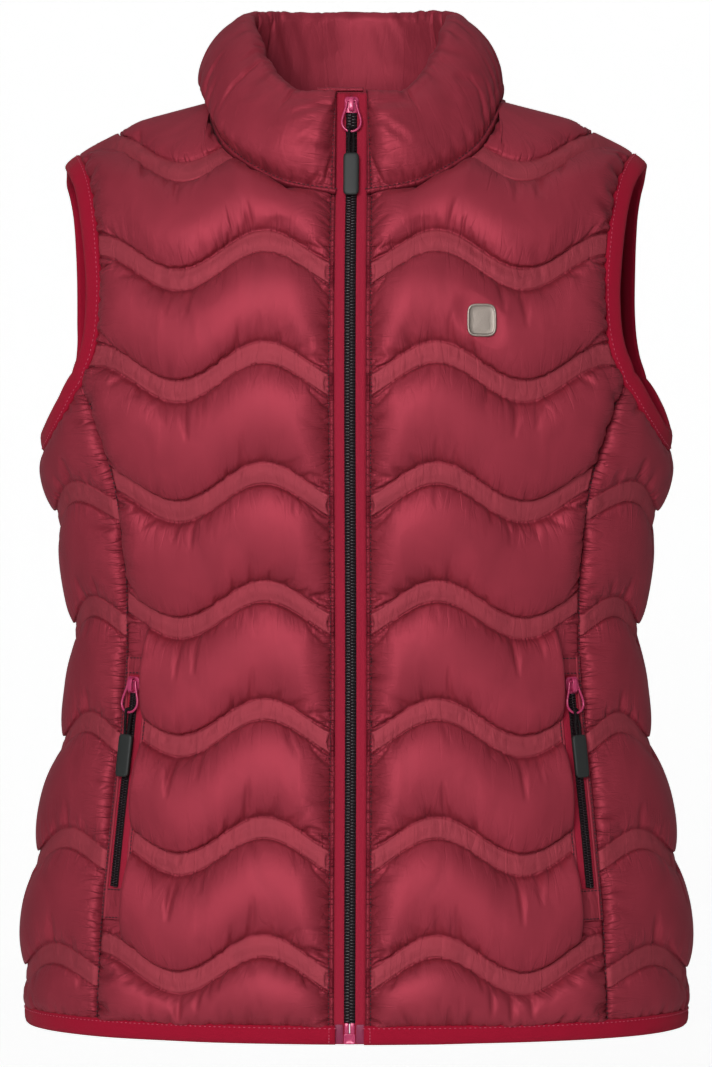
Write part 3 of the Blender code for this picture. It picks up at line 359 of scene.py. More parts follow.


# deep is the painted shade colour, mixed in by the hollow mask in seams, creases and recesses
satin = {"mid": (0.336, 0.036, 0.058, 1.0), "deep": (0.120, 0.005, 0.013, 1.0),
         "strip": (0.350, 0.048, 0.068, 1.0), "roughness": 0.50, "sheen": 0.04,
         "creaseDepth": 0.0021, "weaveDepth": 0.00003, "thread": 0.00042}


# Down-proof nylon: a soft lustre, fine weave, small creases that gather at stitching, and painted shade that
# darkens the colour in seams, creases and recesses.
def makeSatin():
    material, tree, shader = newMaterial("satinNylon")
    uv = addNode(tree, "ShaderNodeUVMap", uv_map="UVMap")
    pucker, hollow, strip, gather = (addNode(tree, "ShaderNodeAttribute", attribute_name=word)
                                     for word in ("pucker", "hollow", "strip", "gather"))
    fine = placeGroup(tree, creaseGroup, [("Vector", uv.outputs[0]), ("Mask", pucker.outputs["Fac"])],
                      Across=135.0, Along=30.0, Sharp=0.20)
    level = placeGroup(tree, creaseGroup, [("Vector", uv.outputs[0]), ("Mask", gather.outputs["Fac"])],
                       Across=34.0, Along=185.0, Sharp=0.30)
    broad = placeGroup(tree, creaseGroup, [("Vector", uv.outputs[0])], Across=42.0, Along=26.0, Mask=0.35)
    weave = placeGroup(tree, weaveGroup, [("Vector", uv.outputs[0])], Thread=satin["thread"])
    # painted shade: the colour goes towards satin["deep"] where the hollow mask is high
    colour = mixColour(tree, hollow.outputs["Fac"], satin["mid"], satin["deep"])
    colour = mixColour(tree, strip.outputs["Fac"], colour, satin["strip"])
    tone = mathNode(tree, "MULTIPLY_ADD", broad.outputs["Tone"], 0.36, 0.80)
    toned = addNode(tree, "ShaderNodeCombineColor", [(0, tone), (1, tone), (2, tone)])
    colour = mixColour(tree, 1.0, colour, toned.outputs[0], "MULTIPLY")
    tree.links.new(colour, shader.inputs["Base Color"])
    rough = mathNode(tree, "MULTIPLY_ADD", broad.outputs["Tone"], 0.14, satin["roughness"] - 0.07)
    rough = mathNode(tree, "MULTIPLY_ADD", strip.outputs["Fac"], 0.10, rough)
    tree.links.new(rough, shader.inputs["Roughness"])
    normal = addBump(tree, shader, weave.outputs["Height"], satin["weaveDepth"])
    height = mathNode(tree, "ADD", fine.outputs["Height"], broad.outputs["Height"])
    height = mathNode(tree, "ADD", height, level.outputs["Height"])
    addBump(tree, shader, height, satin["creaseDepth"], normal=normal)
    shader.inputs["Sheen Weight"].default_value = satin["sheen"]
    shader.inputs["Sheen Roughness"].default_value = 0.45
    shader.inputs["Sheen Tint"].default_value = (1.0, 0.55, 0.62, 1.0)
    shader.inputs["Specular IOR Level"].default_value = 0.25
    shader.inputs["Specular Tint"].default_value = (1.0, 0.42, 0.50, 1.0)
    shader.inputs["Metallic"].default_value = 0.34  # satin gives its highlights the colour of the yarn
    return material


# Elastic tape: fine upright ribs crossed by short threads, with a fleck of lighter yarn.
def makeKnit(name, colour, light, ribs=900.0):
    material, tree, shader = newMaterial(name)
    uv = addNode(tree, "ShaderNodeUVMap", uv_map="UVMap")
    weave = placeGroup(tree, weaveGroup, [("Vector", uv.outputs[0])], Thread=2.0 * math.pi / ribs * 0.1)
    fleck = placeGroup(tree, creaseGroup, [("Vector", uv.outputs[0])], Across=1500.0, Along=1500.0, Mask=1.0)
    mask = mathNode(tree, "MULTIPLY", fleck.outputs["Tone"], 0.8)
    base = mixColour(tree, mask, colour, light)
    tree.links.new(base, shader.inputs["Base Color"])
    normal = addBump(tree, shader, weave.outputs["Height"], 0.00010)
    addBump(tree, shader, fleck.outputs["Height"], 0.00025, normal=normal)
    shader.inputs["Roughness"].default_value = 0.78
    shader.inputs["Sheen Weight"].default_value = 0.04
    shader.inputs["Sheen Roughness"].default_value = 0.5
    shader.inputs["Specular IOR Level"].default_value = 0.10
    return material


# Moulded, painted or cast surface with its grain and uneven gloss.
def makeHard(name, colour, roughness, metallic=0.0, coat=0.0, grain=700.0, depth=0.00003,
             shift=0.25, shine=0.5):
    material, tree, shader = newMaterial(name)
    surface = placeGroup(tree, grainGroup, Scale=grain, Colour=colour, Shift=shift)
    tree.links.new(surface.outputs["Colour"], shader.inputs["Base Color"])
    gloss = mathNode(tree, "MULTIPLY_ADD", surface.outputs["Height"], 0.16, roughness - 0.08)
    tree.links.new(gloss, shader.inputs["Roughness"])
    addBump(tree, shader, surface.outputs["Height"], depth)
    shader.inputs["Metallic"].default_value = metallic
    shader.inputs["Specular IOR Level"].default_value = shine
    shader.inputs["Coat Weight"].default_value = coat
    shader.inputs["Coat Roughness"].default_value = 0.12
    return material


satinNylon = makeSatin()
elasticKnit = makeKnit("elasticKnit", (0.300, 0.003, 0.020, 1.0), (0.440, 0.009, 0.040, 1.0))
zipTapeCloth = makeKnit("zipTapeCloth", (0.310, 0.009, 0.029, 1.0), (0.450, 0.026, 0.060, 1.0), 1300.0)
edgeThread = makeHard("edgeThread", (0.560, 0.070, 0.130, 1.0), 0.5, grain=2500.0, depth=0.00005)
darkThread = makeHard("darkThread", (0.050, 0.003, 0.010, 1.0), 0.6, grain=2500.0, depth=0.00005)
toothPlastic = makeHard("toothPlastic", (0.015, 0.006, 0.009, 1.0), 0.26, coat=0.05, grain=1500.0,
                        shine=0.35)
pinkEnamel = makeHard("pinkEnamel", (0.500, 0.036, 0.130, 1.0), 0.36, metallic=0.20, coat=0.25)
rubberTab = makeHard("rubberTab", (0.021, 0.024, 0.023, 1.0), 0.50, grain=1800.0, depth=0.00006,
                     shine=0.3)
blackCord = makeHard("blackCord", (0.009, 0.006, 0.007, 1.0), 0.60, grain=2600.0, depth=0.00012,
                     shine=0.10)
pewter = makeHard("pewter", (0.290, 0.245, 0.215, 1.0), 0.42, metallic=0.75, grain=1100.0,
                  depth=0.00008, shift=0.5)
clearFilm = makeHard("clearFilm", (0.250, 0.024, 0.075, 1.0), 0.50, shine=0.25)
print("materials made")


# The body surface that the cloth hangs on: height, half width, front depth, back depth
bodySections = np.array((
    (-0.640, 0.2280, 0.128, 0.121),
    (-0.612, 0.2265, 0.127, 0.121),
    (-0.577, 0.2250, 0.124, 0.119),
    (-0.543, 0.2215, 0.120, 0.115),
    (-0.506, 0.2150, 0.115, 0.109),
    (-0.464, 0.2065, 0.110, 0.102),
    (-0.433, 0.1985, 0.107, 0.098),
    (-0.400, 0.1930, 0.105, 0.095),
    (-0.372, 0.1915, 0.105, 0.094),
    (-0.340, 0.1935, 0.107, 0.094),
    (-0.300, 0.2000, 0.113, 0.097),
    (-0.272, 0.2065, 0.117, 0.100),
    (-0.235, 0.2150, 0.121, 0.103),
    (-0.200, 0.2195, 0.123, 0.106),
    (-0.150, 0.2215, 0.120, 0.107),
    (-0.100, 0.2195, 0.110, 0.103),
    (-0.070, 0.2160, 0.0975, 0.097),
    (-0.050, 0.2090, 0.086, 0.091),
    (-0.0335, 0.1925, 0.075, 0.084),
    (-0.021, 0.1700, 0.064, 0.076),
    (-0.0106, 0.1435, 0.054, 0.068),
    (0.001, 0.1030, 0.043, 0.057),
))
roundness = 2.15  # exponent of the oval sections

# Side edge of the front, then of the back: height, half width
frontEdge = np.array((
    (-0.640, 0.1725), (-0.565, 0.1695), (-0.514, 0.1655), (-0.467, 0.1610), (-0.424, 0.1565),
    (-0.369, 0.1530), (-0.335, 0.1530), (-0.298, 0.1555), (-0.265, 0.1600), (-0.232, 0.1685),
    (-0.210, 0.1760), (-0.1915, 0.1825), (-0.172, 0.1755), (-0.153, 0.1720), (-0.130, 0.1710),
    (-0.100, 0.1730), (-0.0735, 0.1765), (-0.055, 0.1808), (-0.044, 0.1855), (-0.0335, 0.1925),
))
backEdge = np.array((
    (-0.640, 0.1925), (-0.565, 0.1895), (-0.514, 0.1840), (-0.467, 0.1765), (-0.424, 0.1695),
    (-0.369, 0.1645), (-0.335, 0.1645), (-0.298, 0.1685), (-0.265, 0.1760), (-0.232, 0.1860),
    (-0.1915, 0.1950), (-0.172, 0.1895), (-0.153, 0.1860), (-0.130, 0.1845), (-0.100, 0.1848),
    (-0.070, 0.1860), (-0.050, 0.1885), (-0.0335, 0.1925),
))
# Neck seam, front then back: half width, height
frontNeck = np.array((
    (0.0000, -0.0690), (0.0420, -0.0620), (0.0600, -0.0540), (0.0780, -0.0425), (0.0885, -0.0325),
    (0.0965, -0.0185), (0.1005, -0.0080), (0.1030, 0.0010),
))
backNeck = np.array((
    (0.0000, -0.0050), (0.0400, -0.0048), (0.0700, -0.0038), (0.0950, -0.0018), (0.1030, 0.0010),
))
cut = {"corner": -0.1915, "armholeDip": 0.0435, "neckHalf": 0.103, "neckTop": 0.001,
       "shoulderEnd": -0.0335, "frontNeckShare": 0.52, "backNeckShare": 0.54, "fanFrom": -0.170,
       "zipEdge": 0.0104, "hemSeam": -0.6252, "seamGap": 0.0003,
       "straightFront": 0.155, "pathPoints": 320, "edgePoints": 400}  # straightFront: width beside the zip


# Half width (1), front depth (2) or back depth (3) of the body at a height.
def bodySize(height, which):
    return smoothCurve(bodySections[:, 0], bodySections[:, which], height)


# A table of two columns, read at a place in its first.
def edgeWidth(table, height):
    return smoothCurve(table[:, 0], table[:, 1], height)


# Oval section: (x / width)^n + (y / depth)^n = 1, solved for y, in front or behind.
def bodyPoint(x, height, behind):
    across = np.clip(np.abs(x) / bodySize(height, 1), 0.0, 1.0)
    y = bodySize(height, 3 if behind else 2) * (1 - across ** roundness) ** (1 / roundness)
    return np.stack(np.broadcast_arrays(x, y if behind else -y, height), axis=-1)


# The same oval by an angle round the body, 0 in front and pi behind.
def ringPoint(angle, height):
    power = 2 / roundness
    depth = np.where(np.cos(angle) > 0, bodySize(height, 2), bodySize(height, 3))
    x = bodySize(height, 1) * np.abs(np.sin(angle)) ** power
    y = -np.sign(np.cos(angle)) * depth * np.abs(np.cos(angle)) ** power
    return np.stack(np.broadcast_arrays(x, y, height), axis=-1)


# Its angle at an x value: sin(angle) = (|x| / width)^(n / 2).
def ringAngle(x, height, behind):
    angle = np.arcsin(np.clip(np.abs(x) / bodySize(height, 1), 0.0, 1.0) ** (roundness / 2))
    return math.pi - angle if behind else angle


# Outward normal: the gradient of the oval's formula, with the sizes' change with height.
def bodyNormal(points):
    x, y, z = points[..., 0], points[..., 1], points[..., 2]
    step, n = 0.001, roundness
    width = bodySize(z, 1)
    depth = np.where(y > 0, bodySize(z, 3), bodySize(z, 2))
    slopes = [(bodySize(z + step, k) - bodySize(z - step, k)) / (2 * step) for k in (1, 2, 3)]
    depthSlope = np.where(y > 0, slopes[2], slopes[1])
    alongX = np.abs(x) ** (n - 1) / width ** n * np.sign(x)
    alongY = np.abs(y) ** (n - 1) / depth ** n * np.sign(y)
    alongZ = -(np.abs(x) ** n * slopes[0] / width ** (n + 1)
               + np.abs(y) ** n * depthSlope / depth ** (n + 1))
    return unit(np.stack([alongX, alongY, alongZ], axis=-1))


# (x, y, z) to (-x, y, z).
def mirrored(points):
    return points * np.array([-1.0, 1.0, 1.0])


# The back of an armhole stands out a little beyond its front, more on the wearer's right.
def standOut(points, atLeft, atRight):
    x, y, z = points[..., 0], points[..., 1], points[..., 2]
    weight = smoothStep((z + 0.19) / 0.06) * smoothStep((-0.030 - z) / 0.020)
    weight = weight * smoothStep((y + 0.01) / 0.05) * smoothStep((np.abs(x) - 0.10) / 0.07)
    moved = points.copy()
    moved[..., 0] += weight * np.where(x > 0, atLeft, -atRight)
    return moved


# Quilting: strips between puffs, in waves. Heights are where a strip's middle runs before the
# wave is added. stripRows are rows of the grid over a strip: distance from its lower line,
# height over the inner surface, 1 where it is held by stitching
quilt = {"strips": (-0.5843, -0.5058, -0.4264, -0.3459, -0.2665, -0.1862, -0.1115, -0.0370),
         "width": 0.0138, "wave": 0.115, "rise": 0.0128, "puff": 0.0116, "sidePuff": 0.0070,
         "fullLength": 0.050, "sideDrop": 0.0085, "sideRise": 0.0100, "sideWave": 0.62,
         "strip": 0.0042, "shoulderFrom": -0.060, "shoulderOver": 0.035, "shoulderFilling": 0.40,
         "pocketHeight": 0.0024}
frontRows = {"puff": 48, "hem": 28, "top": 28}  # intervals of the grid in each kind of puff
backRows = {"puff": 24, "hem": 16, "top": 16}
stripRows = np.array((
    (0.0000, 0.0035, 1), (0.0006, 0.0042, 1), (0.0015, 0.0040, 1), (0.0043, 0.0040, 0),
    (0.0069, 0.0041, 0), (0.0095, 0.0040, 0), (0.0123, 0.0040, 1), (0.0132, 0.0042, 1),
    (0.0138, 0.0035, 1),
))
# Columns beside a zip: distance from the edge, height; a folded ridge and its topstitched line
ridgeColumns = np.array((
    (0.0000, 0.0013), (0.0005, 0.0034), (0.0016, 0.0039), (0.0027, 0.0033), (0.0034, 0.0016),
))
seamHeight = 0.0014  # of the cloth at a seam, over the inner surface
puffFoot = 0.0038  # and of a puff where it meets a strip


# Where each column ends: x and height, first along the neck seam, then the shoulder seam.
def topEdge(shares, neck, neckShare, centreX, behind):
    t = np.linspace(0.0, 1.0, cut["edgePoints"])
    x = centreX + (cut["neckHalf"] - centreX) * (1 - (1 - t) ** 2)
    run = runAlong(bodyPoint(x, edgeWidth(neck, x), behind))
    neckX = np.interp(np.clip(shares / neckShare, 0, 1), run / run[-1], x)
    if not behind:  # beside the zip the columns keep their distance from it
        straight = centreX + shares * cut["straightFront"]
        far = smoothStep((shares - 0.018) / 0.16)
        neckX = straight * (1 - far) + neckX * far
    heights = np.linspace(cut["neckTop"], cut["shoulderEnd"], cut["edgePoints"])
    widths = bodySize(heights, 1)
    shoulderShare = np.clip((shares - neckShare) / (1 - neckShare), 0, 1)
    shoulderX = cut["neckHalf"] + (widths[-1] - cut["neckHalf"]) * shoulderShare
    onNeck = shares <= neckShare
    topX = np.where(onNeck, neckX, shoulderX)
    topZ = np.where(onNeck, edgeWidth(neck, neckX), np.interp(shoulderX, widths, heights))
    return topX, topZ


# Heights from the hem seam to each top, closer together near the top: 1 - (1 - t)^2.
def climb(tops):
    t = np.linspace(0.0, 1.0, cut["pathPoints"])
    return cut["hemSeam"] + (tops[:, None] - cut["hemSeam"]) * (1 - (1 - t[None, :]) ** 2)


# Fine paths up a front or the back: straight shares of the width, fanning out at the top.
def flatPaths(shares, edge, neck, neckShare, centreX, behind):
    topX, topZ = topEdge(shares, neck, neckShare, centreX, behind)
    z = climb(topZ)
    straight = centreX + shares[:, None] * (edgeWidth(edge, z) - centreX)
    straightTop = centreX + shares * (edgeWidth(edge, topZ) - centreX)
    fan = smoothStep((z - cut["fanFrom"]) / (topZ[:, None] - cut["fanFrom"]))
    return bodyPoint(straight + fan * (topX - straightTop)[:, None], z, behind)


# Fine paths up a side panel, from the front's edge at share 0 to the back's at share 1.
def sidePaths(shares):
    z = climb(cut["corner"] - cut["armholeDip"] * np.sin(math.pi * shares) ** 1.1)
    front = ringAngle(edgeWidth(frontEdge, z), z, False)
    back = ringAngle(edgeWidth(backEdge, z), z, True)
    return ringPoint(front + (back - front) * shares[:, None], z)


# Shares from 0 to 1, closer together at both ends, where a puff curves most.
def easedRows(count):
    s = np.linspace(0, 1, count + 1)
    return 0.45 * s + 0.55 * (0.5 - 0.5 * np.cos(math.pi * s))


# Grid of one panel. Rows follow the wave: puffs are shared out between the strips, and
# whatever lies past the panel's top edge is drawn down onto it.
# Gives back a dictionary: base points on the inner surface, normals, the height that a taut
# puff would have, which points are held by sewing and at what height, and masks.
def quiltGrid(paths, wave, strips, puff, counts, sharpColumns=None, flat=None):
    columns = len(paths)
    runs = np.concatenate([np.zeros((columns, 1)), np.cumsum(
        np.linalg.norm(np.diff(paths, axis=1), axis=2), axis=1)], axis=1)
    full = runs[:, -1]

    # Length up each path to a height in the wave pattern, read in straight lines.
    def levelRun(level):
        return np.array([np.interp(level, wave[c], runs[c]) for c in range(columns)])

    rows, tall, held, inStrip, share, fromBelow, fromAbove = [], [], [], [], [], [], []
    below, last = np.zeros(columns), len(strips)
    for k in range(last + 1):
        above = full if k == last else np.minimum(levelRun(strips[k] - quilt["width"] / 2), full)
        count = counts["hem"] if k == 0 else counts["top"] if k == last else counts["puff"]
        length = np.maximum(above - below, 0.0)
        fullness = np.clip(length / quilt["fullLength"], 0, 1) ** 0.8
        for t in easedRows(count):
            first, final = t < 1e-6, t > 1 - 1e-6
            if (first and k > 0) or (final and k < last):
                continue  # the strip's own rows stand on these lines
            rows.append(below + t * length)
            profile = (1 - abs(2 * t - 1) ** 2.2) ** 0.72
            foot = ((seamHeight if k == 0 else puffFoot) * (1 - t)
                    + (seamHeight if k == last else puffFoot) * t)
            tall.append(foot + (puff + 0.003 - foot) * fullness * profile)
            held.append(np.full(columns, first or final))
            inStrip.append(np.zeros(columns))
            share.append(np.full(columns, t))
            fromBelow.append(t * length)
            fromAbove.append((1 - t) * length)
        if k < last:
            ends = [np.minimum(levelRun(strips[k] + side * quilt["width"] / 2), full) for side in (-1, 1)]
            for distance, height, sewn in stripRows:
                t = distance / quilt["width"]
                at = ends[0] + t * (ends[1] - ends[0])
                rows.append(at)
                tall.append(np.full(columns, height))
                held.append(np.full(columns, bool(sewn)))
                inStrip.append(np.full(columns, 1.0 if 0 < t < 1 else 0.35))
                share.append(np.full(columns, -1.0))
                fromBelow.append(np.zeros(columns))
                fromAbove.append(np.zeros(columns))
            below = ends[1]
    rows, tall, held = np.array(rows), np.array(tall), np.array(held)
    inStrip, share = np.array(inStrip), np.array(share)
    points = np.stack([np.stack([np.interp(rows[:, c], runs[c], paths[c, :, axis])
                                 for c in range(columns)], axis=1) for axis in range(3)], axis=-1)
    normals = bodyNormal(points)
    thin = smoothStep((points[..., 2] - quilt["shoulderFrom"]) / quilt["shoulderOver"])
    tall = seamHeight + (tall - seamHeight) * (1 - (1 - quilt["shoulderFilling"]) * thin)
    steps = np.linalg.norm(np.diff(points, axis=1), axis=2)
    fromFirst = np.concatenate([np.zeros((len(rows), 1)), np.cumsum(steps, axis=1)], axis=1)
    fromLast = fromFirst[:, -1:] - fromFirst
    drawnDown = rows >= full[None, :] - 1e-7
    sewn = tall.copy()
    if sharpColumns is not None:  # the folded ridge beside the zip
        for c, (_, height) in enumerate(sharpColumns):
            sewn[:, c] = height
            held[:, c] = True
            inStrip[:, c] = 0.0
    else:
        sewn[:, 0] = seamHeight
        held[:, 0] = True
    sewn[:, -1] = seamHeight
    held[:, -1] = True
    sewn[drawnDown] = seamHeight
    held |= drawnDown
    inStrip[drawnDown] = 0.0
    sewn[0], held[0] = seamHeight, True
    if flat is not None:  # under a pocket the cloth is sewn flat
        depth, low = flat(points, fromLast), quilt["pocketHeight"]
        tall = tall * (1 - depth) + low * depth
        held |= depth > 0.98
        sewn = np.where(depth > 0.98, np.minimum(sewn, low), sewn)
        inStrip = inStrip * (1 - depth)
    return {"base": points, "normals": normals, "tall": tall, "sewn": sewn, "held": held,
            "strip": inStrip, "share": share, "runs": rows, "across": fromFirst,
            "edge": np.minimum(fromFirst, fromLast), "fromLast": fromLast,
            "fromBelow": np.array(fromBelow), "fromAbove": np.array(fromAbove)}


# Cloth that is blown up by its filling. Every thread between two neighbouring points keeps its
# cut length, which is longer than the seams that hold it, so the cloth puckers beside them.
# The solver moves pairs of points towards their length in turn, over whole slices of the grid.
filling = {"levels": ((4, 160, 0.00016, 0.000012), (2, 120, 0.00003, 0.000005),
                      (1, 110, 0.000012, 0.0000015)),  # grid step, rounds, first and last pressure
           "threadExtraUp": 1.025, "threadExtraAcross": 1.035, "unevenAcross": 0.045, "shear": 0.30,
           "bend": 0.10, "bendShare": 0.93, "lowest": 0.0006, "highest": 1.12, "seedHeight": 0.0005}


# Slices of the grid whose pairs don't share a point: first and second slice, rest length,
# the share that each end moves, how firmly, and whether it only resists being shortened.
def pairLists(shape, lengthsUp, lengthsAcross, lengthsSlant, free, bendLengths):
    rows, columns = shape
    pairs = []

    # Each end moves by its part of the pair's freedom: free / (freeA + freeB), times firm.
    def add(rowA, colA, rowB, colB, rest, firm, onlyPush):
        a, b = (rowA, colA), (rowB, colB)
        freeA, freeB = free[a], free[b]
        total = np.maximum(freeA + freeB, 1e-9)
        keep = (freeA + freeB) > 0
        pairs.append((a, b, rest, (freeA / total * keep * firm)[..., None],
                      (freeB / total * keep * firm)[..., None], onlyPush))

    for start in (0, 1):
        add(slice(start, rows - 1, 2), slice(None), slice(start + 1, rows, 2), slice(None),
            lengthsUp[start::2], 1.0, False)
        add(slice(None), slice(start, columns - 1, 2), slice(None), slice(start + 1, columns, 2),
            lengthsAcross[:, start::2], 1.0, False)
        for left, right, rest in ((slice(0, columns - 1), slice(1, columns), lengthsSlant[0]),
                                  (slice(1, columns), slice(0, columns - 1), lengthsSlant[1])):
            add(slice(start, rows - 1, 2), left, slice(start + 1, rows, 2), right,
                rest[start::2], filling["shear"], False)
    for start in range(4):
        add(slice(start, rows - 2, 4), slice(None), slice(start + 2, rows, 4), slice(None),
            bendLengths[0][start::4], filling["bend"], True)
        add(slice(None), slice(start, columns - 2, 4), slice(None), slice(start + 2, columns, 4),
            bendLengths[1][:, start::4], filling["bend"], True)
    return pairs


# Distances from each point to the one that is up rows and across columns on.
def lengthBetween(points, up, across):
    rows, columns = points.shape[:2]
    first = points[:rows - up, max(0, -across):columns - max(0, across)]
    second = points[up:, max(0, across):columns - max(0, -across)]
    return np.linalg.norm(second - first, axis=2)


# Rounds of blowing up and pulling the threads to length, held between two heights.
def settle(start, base, normals, taut, free, low, high, room, rounds, strongest, weakest):
    up = filling["threadExtraUp"]
    lengthsUp, lengthsAcross = lengthBetween(taut, 1, 0) * up, lengthBetween(taut, 0, 1) * room[:, 1:]
    slant = [lengthBetween(taut, 1, side) * (up + room[1:, 1:]) / 2 for side in (1, -1)]
    bend = [(lengthsUp[:-1] + lengthsUp[1:]) * filling["bendShare"],
            (lengthsAcross[:, :-1] + lengthsAcross[:, 1:]) * filling["bendShare"]]
    kind = np.float32
    cloth, base, normals = start.astype(kind), base.astype(kind), normals.astype(kind)
    free, low, high = free.astype(kind), low.astype(kind), high.astype(kind)
    pairs = [(a, b, rest.astype(kind), toA.astype(kind), toB.astype(kind), onlyPush) for
             a, b, rest, toA, toB, onlyPush in
             pairLists(cloth.shape[:2], lengthsUp, lengthsAcross, slant, free, bend)]
    for turn in range(rounds):
        push = kind(strongest * (weakest / strongest) ** (turn / rounds))
        if turn % 3 == 0:
            alongRows = np.gradient(cloth, axis=0)
            alongColumns = np.gradient(cloth, axis=1)
            face = np.cross(alongColumns, alongRows)
            face *= np.sign((face * normals).sum(axis=2, keepdims=True) + 1e-20)
            face = face / np.maximum(np.linalg.norm(face, axis=2, keepdims=True), 1e-12)
        cloth += face * (free * push)[..., None]
        for a, b, rest, toA, toB, onlyPush in pairs:
            gap = cloth[b] - cloth[a]
            length = np.sqrt(np.einsum("ijk,ijk->ij", gap, gap)) + kind(1e-9)
            excess = (length - rest) / length
            if onlyPush:
                excess = np.minimum(excess, 0)
            gap *= excess[..., None]
            cloth[a] += gap * toA
            cloth[b] -= gap * toB
        height = np.einsum("ijk,ijk->ij", cloth - base, normals)
        cloth += normals * ((np.clip(height, low, high) - height) * free)[..., None]
    return cloth.astype(np.float64)


# Coarse grid first, for the broad shape, then finer grids for the puckers.
def blowUp(grid, seed):
    base, normals, held, tall = grid["base"], grid["normals"], grid["held"], grid["tall"]
    # threads keep the length of a full puff right up to the seams at their sides
    lengths = base + normals * np.where(grid["share"] >= 0, tall, grid["sewn"])[..., None]
    soft = np.sqrt(1 - (1 - np.clip(grid["edge"] / 0.016, 0, 1)) ** 2)
    cells = (base.shape[0] // 5, base.shape[1] // 5)
    noise = smoothNoise(seed, base.shape[:2], cells)
    height = np.where(held, grid["sewn"], seamHeight + (tall - seamHeight) * soft * 0.92
                      + noise * filling["seedHeight"])
    cloth = base + normals * height[..., None]
    free = (~held).astype(float)
    low = np.where(held, height, filling["lowest"])
    high = np.where(held, height, np.maximum(tall, quilt["strip"]) * filling["highest"])
    uneven = smoothNoise(seed + 1, base.shape[:2], (base.shape[0] // 12, base.shape[1] // 6))
    room = grid.get("room", filling["threadExtraAcross"]) + filling["unevenAcross"] * (0.5 + 0.5 * uneven)
    for step, rounds, strongest, weakest in filling["levels"]:
        every = (slice(None, None, step), slice(None, None, step))
        rounds = max(rounds // (1), 10)
        settled = settle(cloth[every], base[every], normals[every], lengths[every], free[every],
                         low[every], high[every], room[every], rounds, strongest, weakest)
        moved = settled - cloth[every]
        while step > 1:
            step //= 2
            moved = doubleGrid(moved, tuple((n - 1) // step + 1 for n in base.shape[:2]))
        cloth = cloth + moved * free[..., None]
    return cloth


# Values of every second point, spread evenly onto the points between.
def doubleGrid(values, shape):
    out = np.zeros(shape + values.shape[2:])
    out[::2, ::2] = values
    out[1::2, ::2] = (values[:-1] + values[1:]) / 2
    out[:, 1::2] = (out[:, :-2:2] + out[:, 2::2]) / 2
    return out


# Shares of a width with the columns closer together near both ends.
def easedColumns(count):
    width = 0.9 + 1.4 * np.sin(math.pi * (np.arange(count) + 0.5) / count) ** 0.7
    return np.concatenate([[0.0], np.cumsum(width) / width.sum()])


pocket = {"top": -0.3785, "bottom": -0.5570, "outer": 0.0012, "width": 0.0140, "lip": 0.0024,
          "flatAbove": 0.026, "flatBelow": 0.012, "flatWidth": 0.0235, "softness": 0.004}


# 1 where the front is sewn flat for its pocket, fading out over a few millimetres.
def pocketFlat(points, fromSeam):
    height = points[..., 2]
    inside = smoothStep((pocket["top"] + pocket["flatAbove"] - height) / pocket["softness"])
    inside = inside * smoothStep((height - pocket["bottom"] + pocket["flatBelow"]) / pocket["softness"])
    return inside * smoothStep((pocket["flatWidth"] - fromSeam) / pocket["softness"])


# Height of each point in the wave pattern: z + rise * cos(2 pi x / wave length).
def waveHeight(paths):
    return paths[..., 2] + quilt["rise"] * np.cos(2 * math.pi * paths[..., 0] / quilt["wave"])


# The left front, with the folded ridge beside the zip and the place of its pocket.
def frontGrid():
    ridge = ridgeColumns[:, 0] / cut["straightFront"]
    shares = np.concatenate([ridge[:-1], ridge[-1] + (1 - ridge[-1]) * easedColumns(112)])
    paths = flatPaths(shares, frontEdge, frontNeck, cut["frontNeckShare"], cut["zipEdge"], False)
    return quiltGrid(paths, waveHeight(paths), quilt["strips"], quilt["puff"], frontRows,
                     ridgeColumns, pocketFlat)


# The whole back, as a half and its mirror image.
def backGrid():
    shares = 1 - easedColumns(168)[84:] * 2 + 1
    half = flatPaths(np.sort(np.clip(shares, 0, 1)), backEdge, backNeck, cut["backNeckShare"], 0.0, True)
    paths = np.concatenate([half[::-1], mirrored(half[1:])])
    return quiltGrid(paths, waveHeight(paths), quilt["strips"], quilt["puff"], backRows)


# A side panel, whose waves have their crest in its middle.
def sideGrid():
    shares = easedColumns(80)
    paths = sidePaths(shares)
    crest = np.cos(2 * math.pi * (shares - 0.5) / quilt["sideWave"])
    wave = paths[..., 2] + quilt["sideDrop"] + quilt["sideRise"] * crest[:, None]
    grid = quiltGrid(paths, wave, quilt["strips"][:5], quilt["sidePuff"], frontRows)
    flatter = 1 - 0.45 * np.exp(-grid["across"] / 0.018)  # the side lies flatter beside the front
    grid["tall"] = seamHeight + (grid["tall"] - seamHeight) * flatter
    return grid


# Border of a grid as one path, from a corner along the first row and round.
def border(points):
    return np.concatenate([points[0, :-1], points[:-1, -1], points[-1, :0:-1], points[:0:-1, 0]])


folds = {"spacing": (0.0045, 0.0100), "length": (0.008, 0.036), "depth": (0.00060, 0.00210),
         "half": (0.0014, 0.0026), "lean": 0.45, "stripSpacing": (0.0065, 0.0180),
         "stripLength": (0.007, 0.022), "stripDepth": (0.00040, 0.00130)}
armholeOut = {"left": 0.0015, "right": 0.0062}
allowance = {"rise": 0.0016, "from": 0.0009, "slope": 1.25}  # cloth beside a seam keeps under this


